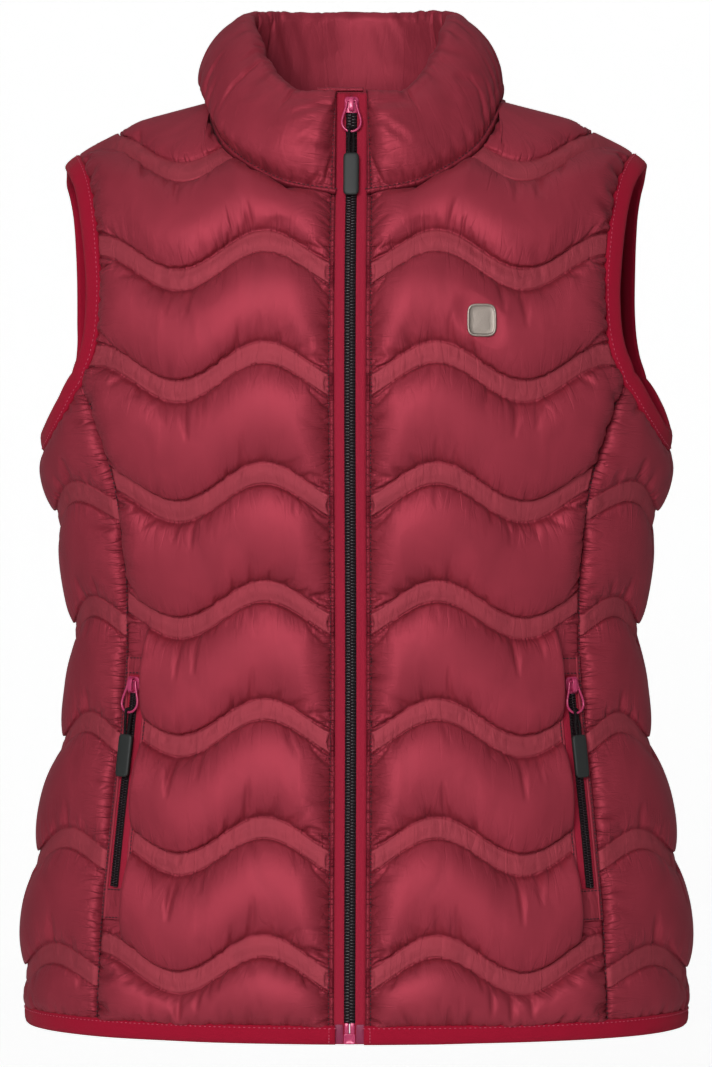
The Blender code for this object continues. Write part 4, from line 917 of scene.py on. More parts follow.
# Troughs that start at a line of stitching and fade out: away is the distance from the line,
# along the place on it. Each has its own place, length, depth, width and lean, and the cloth
# stands up a little beside it: -exp(-(d / w)^2) + 0.5 exp(-(d / 2.4 w)^2).
def fanFolds(seed, away, along, spacing, length, depth, half):
    chance = np.random.default_rng(seed)
    total = np.zeros(away.shape)
    place = along.min() + chance.uniform(*spacing)
    while place < along.max():
        long = length[0] + (length[1] - length[0]) * chance.random() ** 2.2
        deep = depth[0] + (depth[1] - depth[0]) * chance.random() * (long / length[1]) ** 0.3
        wide = chance.uniform(*half) * (1 + away / 0.022)
        lean, bow = chance.uniform(-1, 1) * folds["lean"], chance.uniform(-9.0, 9.0)
        beside = (along - place - lean * away - bow * away ** 2) / wide
        near = np.abs(beside) < 5
        fade = (1 - smoothStep((away[near] - 0.25 * long) / (0.75 * long))) * smoothStep(away[near] / 0.0010)
        shape = -np.exp(-beside[near] ** 2) + 0.5 * np.exp(-(beside[near] / 2.4) ** 2)
        total[near] += shape * fade * deep
        place += chance.uniform(*spacing) * (0.6 + long / length[1])
    return total


# All the gathered folds of a panel: from the seams at its sides, and from both edges of each strip.
def panelFolds(grid, seed):
    total = np.zeros(grid["tall"].shape)
    for which, away in ((0, grid["across"]), (1, grid["fromLast"])):
        reach = int((away < folds["length"][1]).any(axis=0).sum())
        columns = slice(0, reach) if which == 0 else slice(-reach, None)
        total[:, columns] += fanFolds(seed + which, away[:, columns], grid["runs"][:, columns],
                                      folds["spacing"], folds["length"], folds["depth"], folds["half"])
    inPuff = grid["share"][:, 0] >= 0
    starts = np.nonzero(np.diff(np.concatenate([[0], inPuff.astype(int), [0]])))[0].reshape(-1, 2)
    for k, (first, last) in enumerate(starts):
        rows = slice(first, last)
        for side, away in ((0, grid["fromBelow"]), (1, grid["fromAbove"])):
            total[rows] += fanFolds(seed + 10 + 2 * k + side, away[rows], grid["across"][rows],
                                    folds["stripSpacing"], folds["stripLength"], folds["stripDepth"],
                                    folds["half"])
    filled = smoothStep((grid["tall"] - puffFoot) / 0.0035)
    return total * filled * (~grid["held"]) * (grid["strip"] < 0.5)


# The cloth lies flat under the badge and rises round it.
def pressBadge(cloth, low, high):
    middle = (low + high) / 2
    across = np.abs(cloth[..., 0] - middle[0]) / ((high[0] - low[0]) / 2 + 0.0006)
    upward = np.abs(cloth[..., 2] - middle[2]) / ((high[2] - low[2]) / 2 + 0.0006)
    near = (across ** 4 + upward ** 4) ** 0.25
    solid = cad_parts["badge"]
    points = np.array([list(solid.matrix_world @ v.co) for v in solid.data.vertices])
    _, _, directions = np.linalg.svd(points - points.mean(axis=0), full_matrices=False)
    out = directions[2] * np.sign(-directions[2][1])
    back = (points @ out).min() - 0.0003
    over = np.maximum(cloth @ out - back, 0.0) * (cloth[..., 1] < 0)
    press = 1 - smoothStep((near - 1.0) / 1.1)
    return cloth - out * (over * press)[..., None]


# Outer cloth, a plain lining on the inner surface and a narrow edge that joins the two.
def panelGrids(grid, cloth, troughShade):
    base, normals = grid["base"], grid["normals"]
    level = base.copy()  # the lining has every second point; its edge stays straight between them
    for line in (level[0], level[-1], level[:, 0], level[:, -1]):
        line[1:-1:2] = (line[:-2:2] + line[2::2]) / 2
    gathered = np.exp(-(grid["edge"] / 0.013) ** 1.4)
    fromStitch = np.where(grid["share"] < 0, 0.0, np.minimum(grid["share"], 1 - grid["share"]))
    nearStitch = np.exp(-(fromStitch / 0.17) ** 1.5) * (grid["strip"] < 0.5)
    # hollow: painted shade beside the stitched lines, along the panel's edges and in the troughs of its folds
    masks = {"pucker": np.clip(0.02 + 0.75 * nearStitch + 0.22 * grid["strip"], 0, 1),
             "gather": np.clip(1.1 * gathered, 0, 1) * (grid["strip"] < 0.5) + 0.2 * gathered,
             "hollow": np.clip(0.38 * (1 - smoothStep(fromStitch / 0.06)) * (grid["strip"] < 0.5)
                               + 0.6 * np.exp(-grid["edge"] / 0.003) + troughShade, 0, 1),
             "strip": grid["strip"]}
    uv = np.stack([grid["across"], grid["runs"]], axis=-1)
    outer = {"points": cloth, "outward": normals, "uv": uv, "masks": masks}
    # the lining and the narrow edge get an even amount of painted shade
    lining = {"points": level[::2, ::2], "outward": -normals[::2, ::2], "uv": uv[::2, ::2],
              "masks": {"pucker": 0.2, "gather": 0.0, "hollow": 0.3}}
    top, bottom, sideways = border(cloth), border(level), border(normals)
    middle = cloth.reshape(-1, 3).mean(axis=0)
    away = top - middle
    away -= sideways * (away * sideways).sum(axis=1, keepdims=True)
    edge = {"points": np.stack([top, bottom]), "around": True, "outward": np.stack([away, away]),
            "uv": np.stack([border(uv)] * 2), "masks": {"pucker": 0.3, "gather": 0.0, "hollow": 0.7}}
    return [outer, lining, edge]


# One panel: its gathers pressed into the blown-up cloth, which stays under a line that rises
# from the seam, rise + slope * distance. The wearer's right is the mirror image of the left.
def makePanel(word, grid, cloth, seed, flip):
    creased = panelFolds(grid, seed)
    cloth = cloth + grid["normals"] * creased[..., None]
    fromSeam = grid["fromLast"] if word.startswith("front") else grid["edge"]
    most = allowance["rise"] + allowance["slope"] * np.maximum(fromSeam - allowance["from"], 0)
    height = ((cloth - grid["base"]) * grid["normals"]).sum(axis=2)
    cloth = cloth - grid["normals"] * np.maximum(height - most, 0)[..., None]
    if word == "frontPanelLeft":
        low, high = (np.array(corner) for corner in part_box("badge"))
        cloth = pressBadge(cloth, low, high)
    # painted shade in the troughs of the pressed-in folds
    troughShade = 0.45 * np.clip(-creased / 0.0009, 0, 1)
    if word == "backPanel":
        cloth = standOut(cloth, armholeOut["left"], armholeOut["right"])
        grid = {**grid, "base": standOut(grid["base"], armholeOut["left"], armholeOut["right"])}
    if flip:
        cloth = mirrored(cloth)
        grid = {**grid, "base": mirrored(grid["base"]), "normals": mirrored(grid["normals"])}
    return cloth, meshObject(word, panelGrids(grid, cloth, troughShade), satinNylon, weld=0.00001)


fronts, sides, backs = frontGrid(), sideGrid(), backGrid()
print("panel patterns laid out", fronts["base"].shape, sides["base"].shape, backs["base"].shape)
with ThreadPoolExecutor(5) as workers:
    jobs = [workers.submit(blowUp, grid, seed) for grid, seed in
            ((fronts, 11), (fronts, 12), (sides, 21), (sides, 22), (backs, 31))]
    frontLeft, frontRight, sideLeft, sideRight, back = [job.result() for job in jobs]
print("panels blown up")


# Local axes of a small piece: across it, up along it and out from the cloth.
def makeAxes(origin, up, out):
    up = unit(np.asarray(up, float))
    across = unit(np.cross(up, np.asarray(out, float)))
    return {"origin": np.asarray(origin, float), "across": across, "up": up, "out": np.cross(across, up)}


# Local coordinates (across, up, out) in the garment's frame.
def inAxes(axes, local):
    local = np.asarray(local, float)
    return (axes["origin"] + local[..., :1] * axes["across"] + local[..., 1:2] * axes["up"]
            + local[..., 2:3] * axes["out"])


# The same place, leaning out from the cloth by an angle below its origin.
def leanOut(axes, angle):
    up = axes["up"] * math.cos(angle) + axes["out"] * math.sin(angle)
    out = axes["out"] * math.cos(angle) - axes["up"] * math.sin(angle)
    return {**axes, "up": up, "out": out}


# Points and faces of one closed shape, a stack of rings (rows, columns, 3): quads between the
# rings, and a fan of triangles round the middle of the first and of the last.
def closedShape(rings):
    rings = np.asarray(rings, float)
    rows, columns = rings.shape[:2]
    points = np.concatenate([rings.reshape(-1, 3), rings[:1].mean(axis=1), rings[-1:].mean(axis=1)])
    quads = gridFaces(rows, columns, True)
    low = np.arange(columns)
    high = low + (rows - 1) * columns
    ends = np.concatenate([
        np.stack([np.full(columns, rows * columns), np.roll(low, -1), low], axis=1),
        np.stack([np.full(columns, rows * columns + 1), high, np.roll(high, -1)], axis=1)])
    normal = np.cross(np.roll(rings, -1, axis=1)[:-1] - rings[:-1], rings[1:] - rings[:-1])
    if (normal * (rings[:-1] - rings.mean(axis=1)[:-1, None])).sum() < 0:
        quads, ends = quads[:, ::-1], ends[:, ::-1]
    return points, quads, ends


# One piece from several closed shapes.
def solidObject(name, stacks, material):
    points, faces, start = [], [], 0
    for rings in stacks:
        local, quads, ends = closedShape(rings)
        points.append(local)
        faces += (quads + start).tolist() + (ends + start).tolist()
        start += len(local)
    mesh = bpy.data.meshes.new(name)
    mesh.from_pydata(np.concatenate(points).tolist(), [], faces)
    return placeMesh(name, mesh, material)


# Copies of one small closed shape at many places: rings in local coordinates, and for each
# copy its origin and the directions of its three local axes.
def manyObject(name, rings, origins, across, up, out, material):
    local, quads, ends = closedShape(rings)
    points = origins[:, None, :] + np.einsum("pk,nkj->npj", local, np.stack([across, up, out], axis=1))
    shift = np.arange(len(origins))[:, None, None] * len(local)
    faces = (quads[None] + shift).reshape(-1, 4).tolist() + (ends[None] + shift).reshape(-1, 3).tolist()
    mesh = bpy.data.meshes.new(name)
    mesh.from_pydata(points.reshape(-1, 3).tolist(), [], faces)
    return placeMesh(name, mesh, material)


# Rings of a plate: an outline of (across, up) points pulled in a little at both faces, which
# are back and front metres out; dish sinks the middle of the front.
def plateRings(outline, back, front, soft, axes, dish=0.0):
    outline = np.asarray(outline, float)
    middle = outline.mean(axis=0)
    reach = np.linalg.norm(outline - middle, axis=1, keepdims=True)
    rings = []
    levels = [(soft, back), (0.0, back + soft), (0.0, front - soft), (soft * 0.3, front - soft * 0.3),
              (soft, front)]
    if dish:
        levels.append((2.2 * soft, front - dish))
    for inset, out in levels:
        pulled = middle + (outline - middle) * (1 - inset / reach)
        rings.append(np.concatenate([pulled, np.full((len(pulled), 1), out)], axis=1))
    return inAxes(axes, np.array(rings))


# Outline of a rounded rectangle: |a / half|^n + |b / half|^n = 1.
def softRectangle(halfAcross, halfUp, power, count):
    turn = np.linspace(0, 2 * math.pi, count, endpoint=False)
    c, s = np.cos(turn), np.sin(turn)
    return np.stack([np.sign(c) * np.abs(c) ** (2 / power) * halfAcross,
                     np.sign(s) * np.abs(s) ** (2 / power) * halfUp], axis=1)


# Rings of a tube along a path; side is the direction of the first point of each ring.
def tubeRings(path, side, radius, sides, closed=False):
    path = np.asarray(path, float)
    along = np.roll(path, -1, axis=0) - np.roll(path, 1, axis=0) if closed else np.gradient(path, axis=0)
    along = unit(along)
    side = np.broadcast_to(np.asarray(side, float), path.shape)
    side = unit(side - along * (side * along).sum(axis=1, keepdims=True))
    other = np.cross(along, side)
    radius = np.broadcast_to(np.asarray(radius, float), (len(path),))[:, None, None]
    turn = np.linspace(0, 2 * math.pi, sides, endpoint=False)[None, :, None]
    return path[:, None] + radius * (np.cos(turn) * side[:, None] + np.sin(turn) * other[:, None])


# Stitches: short spindles that lie along a path, sunk a little into the cloth.
stitch = {"length": 0.0021, "half": 0.00040, "sides": 5}


# Rows of stitches, each given by its path, the outward direction of the cloth and the pitch.
def stitchObject(name, lines, material, slot="cloth", size=1.0):
    origins, alongs, outs = [], [], []
    for path, outward, pitch in lines:
        middle, _ = resample(path, pitch)
        along = unit(np.gradient(middle, axis=0))
        outward = np.asarray(outward, float)
        if outward.ndim == 2:
            outward = readAt(np.linspace(0, 1, len(middle)), np.linspace(0, 1, len(outward)), outward)
        outward = np.broadcast_to(outward, middle.shape)
        out = unit(outward - along * (outward * along).sum(axis=1, keepdims=True))
        origins.append(middle)
        alongs.append(along)
        outs.append(out)
    origins, alongs, outs = (np.concatenate(part) for part in (origins, alongs, outs))
    half, length = stitch["half"] * size, stitch["length"] * size / 2
    turn = np.linspace(0, 2 * math.pi, stitch["sides"], endpoint=False)
    rings = np.array([np.stack([np.cos(turn) * half * wide, np.full(stitch["sides"], length * place),
                                np.sin(turn) * half * wide], axis=1)
                      for place, wide in ((-1.0, 0.35), (-0.55, 1.0), (0.55, 1.0), (1.0, 0.35))])
    piece = manyObject(name, rings, origins + outs * half * 0.35, np.cross(alongs, outs), alongs, outs,
                       material)
    finishPiece(piece, "garment", slot)


# The five panels and their seam stitching: rows of path, outward direction and pitch
seamLift = {"zip": (0.0005, 0.0027), "seam": (0.0009, 0.0030)}  # over the cloth, pitch of the stitches
seamRows = []
for word, node, grid, cloth, seed, flip in (
        ("frontPanelLeft", "front_left", fronts, frontLeft, 210, False),
        ("frontPanelRight", "front_right", fronts, frontRight, 250, True),
        ("sidePanelLeft", "side_left", sides, sideLeft, 310, False),
        ("sidePanelRight", "side_right", sides, sideRight, 350, True),
        ("backPanel", "back", backs, back, 410, False)):
    cloth, piece = makePanel(word, grid, cloth, seed, flip)
    finishPiece(piece, "garment", "cloth", node)
    normals = mirrored(grid["normals"]) if flip else grid["normals"]
    if node.startswith("front"):  # topstitching beside the zip
        lift, pitch = seamLift["zip"]
        seamRows.append((cloth[:, 4] + normals[:, 4] * lift, normals[:, 4], pitch))
    lift, pitch = seamLift["seam"]
    for column in {"front": (-1,), "back": (0, -1)}.get(node.split("_")[0], ()):
        below = grid["base"][:, column, 2] < cut["corner"]
        seamRows.append((cloth[below, column] + normals[below, column] * lift, normals[below, column], pitch))
stitchObject("panelStitches", seamRows, darkThread)
print("panels made")


# The collar: a filled roll of cloth that stands round the neck, closed to a ridge on top
collar = {"gap": 0.0005, "wall": 0.003, "puff": 0.0105, "topWidth": 0.0705, "topFront": 0.088,
          "topBack": 0.046, "bulge": 0.035, "softness": 0.040, "rise": 0.05, "turn": 0.30,
          "pitch": 0.0016, "rows": 47, "lastRow": 0.985, "inner": 0.0015, "roomInside": 1.01,
          "roomOutside": 1.035, "lean": 0.0040, "shadowFrom": 0.052, "shadowOver": 0.045}
ridgeHeights = np.array((  # angle round the neck from the front, height of the ridge
    (0.0, 0.0045), (29.0, 0.0056), (40.0, 0.0140), (52.6, 0.0285), (68.0, 0.0500),
    (90.0, 0.0660), (130.0, 0.0722), (180.0, 0.0740),
))


# The neck seam from the zip round the back to the zip again, seen as one path from +X to -X.
def neckPath():
    t = np.linspace(0, 1, 300)
    x = cut["zipEdge"] + (cut["neckHalf"] - cut["zipEdge"]) * (1 - (1 - t) ** 2)
    front = bodyPoint(x, edgeWidth(frontNeck, x), False)
    x = cut["neckHalf"] * (1 - t ** 2)
    behind = bodyPoint(x, edgeWidth(backNeck, x), True)
    half = np.concatenate([front, behind[1:]])
    return np.concatenate([half, mirrored(half[:-1])[::-1]])


# Grid of the collar: rows up its outside, over the ridge and down its inside. Each row stands
# part of the way from the neck seam to the ridge, bulging by level^2 (1 - level).
def collarGrid():
    path = neckPath()
    run = runAlong(path)
    ridge = ridgeColumns[:, 0]
    inner = run[-1] - 2 * ridge[-1]
    count = int(inner / collar["pitch"] / 4) * 4
    at = np.concatenate([ridge[:-1], ridge[-1] + inner * easedColumns(count), run[-1] - ridge[-2::-1]])
    neck = readAt(at, run, path)
    along = unit(np.gradient(neck, axis=0))
    normal = bodyNormal(neck)
    away = unit(np.cross(along, normal))
    away *= np.sign((away * (np.array([0, 0, 0.03]) - neck)).sum(axis=1, keepdims=True))
    foot = neck + away * collar["gap"]
    foot[[0, -1], 0] = neck[[0, -1], 0]
    angle = np.arctan2(np.abs(neck[:, 0]), -neck[:, 1])
    reach = np.where(neck[:, 1] < 0, collar["topFront"], collar["topBack"])
    ridgeX = np.sign(neck[:, 0]) * np.maximum(collar["topWidth"] * np.sin(angle), cut["zipEdge"])
    ridgeX[np.abs(neck[:, 0]) < cut["zipEdge"] / 2] = 0.0
    middleColumns = (neck[:, 1] > 0) & (np.abs(neck[:, 0]) < 0.02)
    ridgeX[middleColumns] = (collar["topWidth"] * np.sin(angle) * np.sign(neck[:, 0]))[middleColumns]
    ridgeZ = smoothCurve(ridgeHeights[:, 0], ridgeHeights[:, 1], np.degrees(angle))
    ridgeLine = np.stack([ridgeX, -np.cos(angle) * reach, ridgeZ], axis=1)
    fromEdge = np.minimum(at, run[-1] - at)
    fullness = np.sqrt(1 - (1 - np.clip(fromEdge / collar["softness"], 0, 1)) ** 2)
    outwards = unit(np.stack([np.sin(angle) * np.sign(neck[:, 0]) * fullness, -np.cos(angle),
                              np.zeros(len(neck))], axis=1))
    normal[[0, -1], 0] = 0.0
    start = foot + normal * collar["wall"] / 2
    height = np.linalg.norm(ridgeLine - start, axis=1).mean()

    seamRows = ridgeColumns[:, 0] / height
    eased = seamRows[-1] + (collar["lastRow"] - seamRows[-1]) * easedColumns(collar["rows"])
    levels = np.concatenate([seamRows[:-1], eased])
    rows = [(level, 1.0) for level in levels] + [(1.0, 0.0)] + [(level, -1.0) for level in levels[::-1]]
    base, direction, tall = [], [], []
    for level, face in rows:
        middle = start + (ridgeLine - start) * level
        middle = middle + outwards * (collar["bulge"] * level ** 2 * (1 - level) * fullness)[:, None]
        turned = smoothStep((level - collar["rise"]) / collar["turn"])
        across = unit(normal * (1 - turned) + outwards * turned)
        rise = collar["puff"] * max(1 - abs(2 * level - 1) ** 2.6, 0) ** 0.55
        # the cloth turns over the ridge instead of ending square on it
        over = smoothStep((level - 0.93) / 0.07) if face else 1.0
        pointing = unit(across * face + np.array([0, 0, 1.0]) * over * (1.0 if not face else 0.8))
        base.append(middle)
        direction.append(pointing)
        tall.append(collar["wall"] / 2 + rise * np.maximum(fullness, 0.06))
    base, direction, tall = np.array(base), np.array(direction), np.array(tall)
    count = len(rows)
    ridgeHeight = ridgeColumns[:, 1] + 0.0004
    held = np.zeros(tall.shape, bool)
    sewn = tall.copy()
    last, outer = len(seamRows), count // 2 - 1
    for k, rise in enumerate(ridgeHeight):  # folded ridge along the neck seam and the zip
        sewn[k], held[k] = rise, True
        for column in (k, -1 - k):
            highest = np.maximum(sewn[:outer, column], rise)
            sewn[:outer, column] = np.where(np.arange(outer) < last, highest, rise)
            sewn[outer:, column] = collar["inner"]
            held[:, column] = True
    sewn[-1], held[-1] = collar["inner"], True
    steps = np.linalg.norm(np.diff(base, axis=0), axis=2)
    runs = np.concatenate([np.zeros((1, len(at))), np.cumsum(steps, axis=0)])
    onInside = np.arange(count) > count // 2 + 1
    room = np.where(onInside, collar["roomInside"], collar["roomOutside"])[:, None]
    fromNeck = np.minimum(np.arange(count), np.arange(count)[::-1])[:, None] * collar["pitch"]
    return {"base": base, "normals": direction, "tall": tall, "sewn": sewn, "held": held,
            "share": np.ones(tall.shape), "runs": runs,
            "across": np.broadcast_to(at, tall.shape), "edge": np.broadcast_to(fromEdge, tall.shape),
            "fromNeck": fromNeck, "room": room, "middle": base[:count // 2 + 1]}


# Presses listed creases into cloth: each a trough along a line between two points, with
# the cloth heaped up a little beside it. Rows: start, end, half width, depth.
def pressCreases(cloth, normals, free, creases):
    for start, end, width, depth in creases:
        start, end = np.asarray(start, float), np.asarray(end, float)
        line = end - start
        share = np.clip(((cloth - start) @ line) / (line @ line), 0, 1)
        away = np.linalg.norm(cloth - (start + share[..., None] * line), axis=2) / width
        taper = np.sin(math.pi * np.clip(0.12 + 0.88 * share, 0, 1)) ** 0.7
        trough = -np.exp(-away ** 2) + 0.45 * np.exp(-(away - 1.9) ** 2 / 0.8)
        cloth = cloth + normals * (trough * depth * taper * free)[..., None]
    return cloth


collarShape = collarGrid()
collarCloth = blowUp(collarShape, 41)
collarCreases = (
    ((0.014, -0.099, -0.012), (0.040, -0.103, -0.030), 0.0030, 0.0016),
    ((0.013, -0.096, -0.040), (0.034, -0.100, -0.056), 0.0026, 0.0013),
    ((0.015, -0.098, -0.024), (0.030, -0.104, -0.022), 0.0022, 0.0009),
    ((-0.014, -0.099, -0.016), (-0.037, -0.104, -0.036), 0.0030, 0.0016),
    ((-0.013, -0.097, -0.046), (-0.030, -0.100, -0.060), 0.0024, 0.0012),
    ((-0.016, -0.098, -0.004), (-0.044, -0.098, -0.012), 0.0026, 0.0012),
    ((0.012, -0.098, -0.006), (0.052, -0.092, 0.002), 0.0034, 0.0017),
    ((0.013, -0.099, -0.030), (0.060, -0.090, -0.030), 0.0042, 0.0016),
    ((-0.013, -0.099, -0.028), (-0.056, -0.092, -0.024), 0.0042, 0.0018),
    ((-0.014, -0.097, -0.053), (-0.046, -0.094, -0.046), 0.0030, 0.0014),
    ((0.046, -0.078, -0.050), (0.038, -0.094, -0.020), 0.0036, 0.0013),
    ((-0.050, -0.076, -0.048), (-0.052, -0.090, -0.014), 0.0040, 0.0015),
    ((0.075, -0.058, -0.026), (0.066, -0.080, 0.004), 0.0040, 0.0016),
    ((-0.078, -0.055, -0.024), (-0.066, -0.082, 0.010), 0.0042, 0.0017),
    ((0.040, -0.084, 0.014), (0.062, -0.074, 0.026), 0.0036, 0.0018),
    ((-0.038, -0.085, 0.012), (-0.060, -0.074, 0.030), 0.0036, 0.0019),
    ((0.020, 0.046, 0.072), (0.028, 0.050, 0.040), 0.0045, 0.0016),
    ((-0.034, 0.044, 0.072), (-0.022, 0.050, 0.046), 0.0045, 0.0018),
    ((0.050, 0.034, 0.070), (0.040, 0.048, 0.036), 0.0040, 0.0020),
    ((-0.056, 0.028, 0.068), (-0.044, 0.044, 0.030), 0.0040, 0.0020),
    ((0.092, -0.046, 0.006), (0.070, -0.074, 0.020), 0.0040, 0.0018),
    ((-0.094, -0.040, 0.010), (-0.074, -0.070, 0.018), 0.0038, 0.0017),
    ((0.060, -0.050, 0.036), (0.052, -0.020, 0.054), 0.0042, 0.0026),
    ((0.066, -0.030, 0.040), (0.050, 0.010, 0.046), 0.0036, 0.0020),
    ((-0.058, -0.050, 0.036), (-0.050, -0.018, 0.054), 0.0042, 0.0026),
    ((-0.066, -0.026, 0.042), (-0.048, 0.012, 0.050), 0.0034, 0.0020),
)
# the filled roll leans a little to the wearer's right
leaning = smoothStep(collarShape["fromNeck"] / 0.035)
leaning = leaning * smoothStep((np.abs(collarCloth[..., 0]) - 0.02) / 0.05)
collarCloth[..., 0] -= collar["lean"] * leaning
collarCloth = pressCreases(collarCloth, collarShape["normals"], ~collarShape["held"], collarCreases)


# Gathers of the collar: least and most spacing, length, depth and half width
collarFans = {"neck": ((0.005, 0.012), (0.008, 0.036), (0.0006, 0.0022), (0.0016, 0.0030)),
              "ridge": ((0.008, 0.022), (0.008, 0.030), (0.0006, 0.0020), (0.0020, 0.0036)),
              "inside": ((0.012, 0.030), (0.010, 0.030), (0.0006, 0.0022), (0.0022, 0.0038)),
              "zip": ((0.005, 0.011), (0.010, 0.045), (0.0007, 0.0024), (0.0015, 0.0028))}


# Gathers from the neck seam, from both zip edges and from the ridge.
def collarFolds():
    grid = collarShape
    rows = len(grid["tall"])
    fromNeck = np.broadcast_to(grid["fromNeck"], grid["tall"].shape)
    fromRidge = fromNeck.max() - fromNeck
    outer = (np.arange(rows) <= rows // 2)[:, None]
    total = outer * fanFolds(511, fromNeck, grid["across"], *collarFans["neck"])
    total += outer * fanFolds(521, fromRidge, grid["across"], *collarFans["ridge"])
    total += ~outer * fanFolds(531, fromRidge, grid["across"], *collarFans["inside"])
    half = grid["edge"].shape[1] // 2
    for columns, seed in ((slice(0, half), 541), (slice(half, None), 551)):
        total[:, columns] += fanFolds(seed, grid["edge"][:, columns], grid["runs"][:, columns],
                                      *collarFans["zip"])
    filled = smoothStep(grid["edge"] / 0.006) * smoothStep(fromNeck / 0.005)
    return total * filled * ~grid["held"]


collarCreased = collarFolds()
collarCloth = collarCloth + collarShape["normals"] * collarCreased[..., None]


# The collar's cloth, its ends beside the zip and its foot on the neck seam.
def makeCollar():
    grid = collarShape
    inside = (np.arange(len(grid["tall"])) > len(grid["tall"]) // 2)[:, None]
    # painted shadow on the inside of the collar, deepest down in the neck
    dark = inside * smoothStep((collar["shadowFrom"] - grid["fromNeck"]) / collar["shadowOver"])
    # hollow: painted shade at the zip edges, the neck seam and in the crease troughs, plus the painted shadow
    # inside
    masks = {"pucker": np.clip(0.12 + 0.8 * np.exp(-grid["fromNeck"] / 0.010), 0, 1),
             "gather": np.clip(np.exp(-grid["edge"] / 0.014), 0, 1),
             "hollow": np.clip(0.7 * np.exp(-np.minimum(grid["edge"], grid["fromNeck"]) / 0.004)
                               + 0.45 * np.clip(-collarCreased / 0.0009, 0, 1)
                               + 0.95 * dark, 0, 1)}  # dark down in the neck
    uv = np.stack([grid["across"], grid["runs"]], axis=-1)
    around = {"points": collarCloth, "outward": grid["normals"], "uv": uv, "masks": masks}
    pieces = [around]
    # the ends beside the zip and the foot get an even amount of painted shade
    for column, outward in ((0, (-1.0, 0, 0)), (-1, (1.0, 0, 0))):  # ends beside the zip
        line = collarCloth[:, column]
        half = len(line) // 2
        ends = np.stack([line[:half + 1], line[half:][::-1]], axis=1)
        pieces.append({"points": ends, "outward": outward, "masks": {"pucker": 0.3, "hollow": 0.5}})
    pieces.append({"points": np.stack([collarCloth[0], collarCloth[-1]]), "outward": (0, 0, -1.0),
                   "masks": {"pucker": 0.3, "hollow": 0.8}})
    piece = meshObject("standCollar", pieces, satinNylon, weld=0.00001)
    finishPiece(piece, "garment", "cloth", "collar")


# Topstitching along the neck seam and beside the zip
collarRows = [(collarCloth[4] + collarShape["normals"][4] * 0.0007, collarShape["normals"][4], 0.0032)]
for column in (4, -5):
    rows = slice(4, len(collarCloth) // 2 - 3)
    collarRows.append((collarCloth[rows, column] + collarShape["normals"][rows, column] * 0.0006,
                       collarShape["normals"][rows, column], 0.0030))
makeCollar()
stitchObject("collarStitches", collarRows, darkThread)
print("collar made", collarShape["base"].shape)


# Elastic binding, folded over the raw edges of the armholes and the hem
binding = {"arm": 0.0120, "hem": 0.0112, "pitch": 0.0016, "ripple": 0.00035, "overTape": 0.0008,
           "lap": 0.0017, "stitch": 0.0049, "stitchPitch": 0.0034, "barPitch": 0.0024}  # lap: over the panel
bindingOutline = np.array((  # share of the width away from the seam, height over the inner surface
    (0.00, -0.0004), (0.00, 0.0026), (0.02, 0.0040), (0.11, 0.0046), (0.40, 0.0048), (0.72, 0.0045),
    (0.90, 0.0038), (0.98, 0.0026), (1.00, 0.0014), (0.97, 0.0002), (0.88, -0.0006), (0.45, -0.0008),
))


# Edge of the left armhole: up the front, down the back and along the side panel's top.
def armholePath():
    z = np.linspace(cut["corner"], cut["shoulderEnd"], 200)
    up = bodyPoint(edgeWidth(frontEdge, z), z, False)
    down = bodyPoint(edgeWidth(backEdge, z[::-1]), z[::-1], True)
    under = sidePaths(np.linspace(1, 0, 160))[:, -1]
    path, _ = resample(np.concatenate([up, down[1:], under[1:-1]]), binding["pitch"], closed=True)
    for _ in range(6):  # the binding rounds off the corners of the panels
        path = (np.roll(path, 1, axis=0) + 2 * path + np.roll(path, -1, axis=0)) / 4
    return path


# Hem edge from the zip at +X round the back to the zip at -X.
def hemPath():
    front, side = fronts["base"][0], sides["base"][0]
    half = np.concatenate([front, side[1:], backs["base"][0][1:len(backs["base"][0]) // 2 + 1]])
    path, _ = resample(np.concatenate([half, mirrored(half[:-1])[::-1]]), binding["pitch"])
    path[0, 0] -= binding["overTape"]  # its folded ends stand a little over the zip tapes
    path[-1, 0] += binding["overTape"]
    return path


# Along a hem (no centre), or along a loop round a centre: the outward normal, and the
# direction in the cloth's surface that points away from the panels.
def edgeDirections(path, centre=None):
    if centre is None:
        along = unit(np.gradient(path, axis=0))
    else:
        along = unit(np.roll(path, -1, axis=0) - np.roll(path, 1, axis=0))
    normal = bodyNormal(path)
    if centre is None:
        normal[[0, -1], 0] = 0.0
        return normal, np.broadcast_to(np.array([0.0, 0.0, -1.0]), path.shape)
    away = unit(np.cross(along, normal))
    away *= np.sign((away * (np.asarray(centre) - path)).sum(axis=1, keepdims=True))
    return normal, away


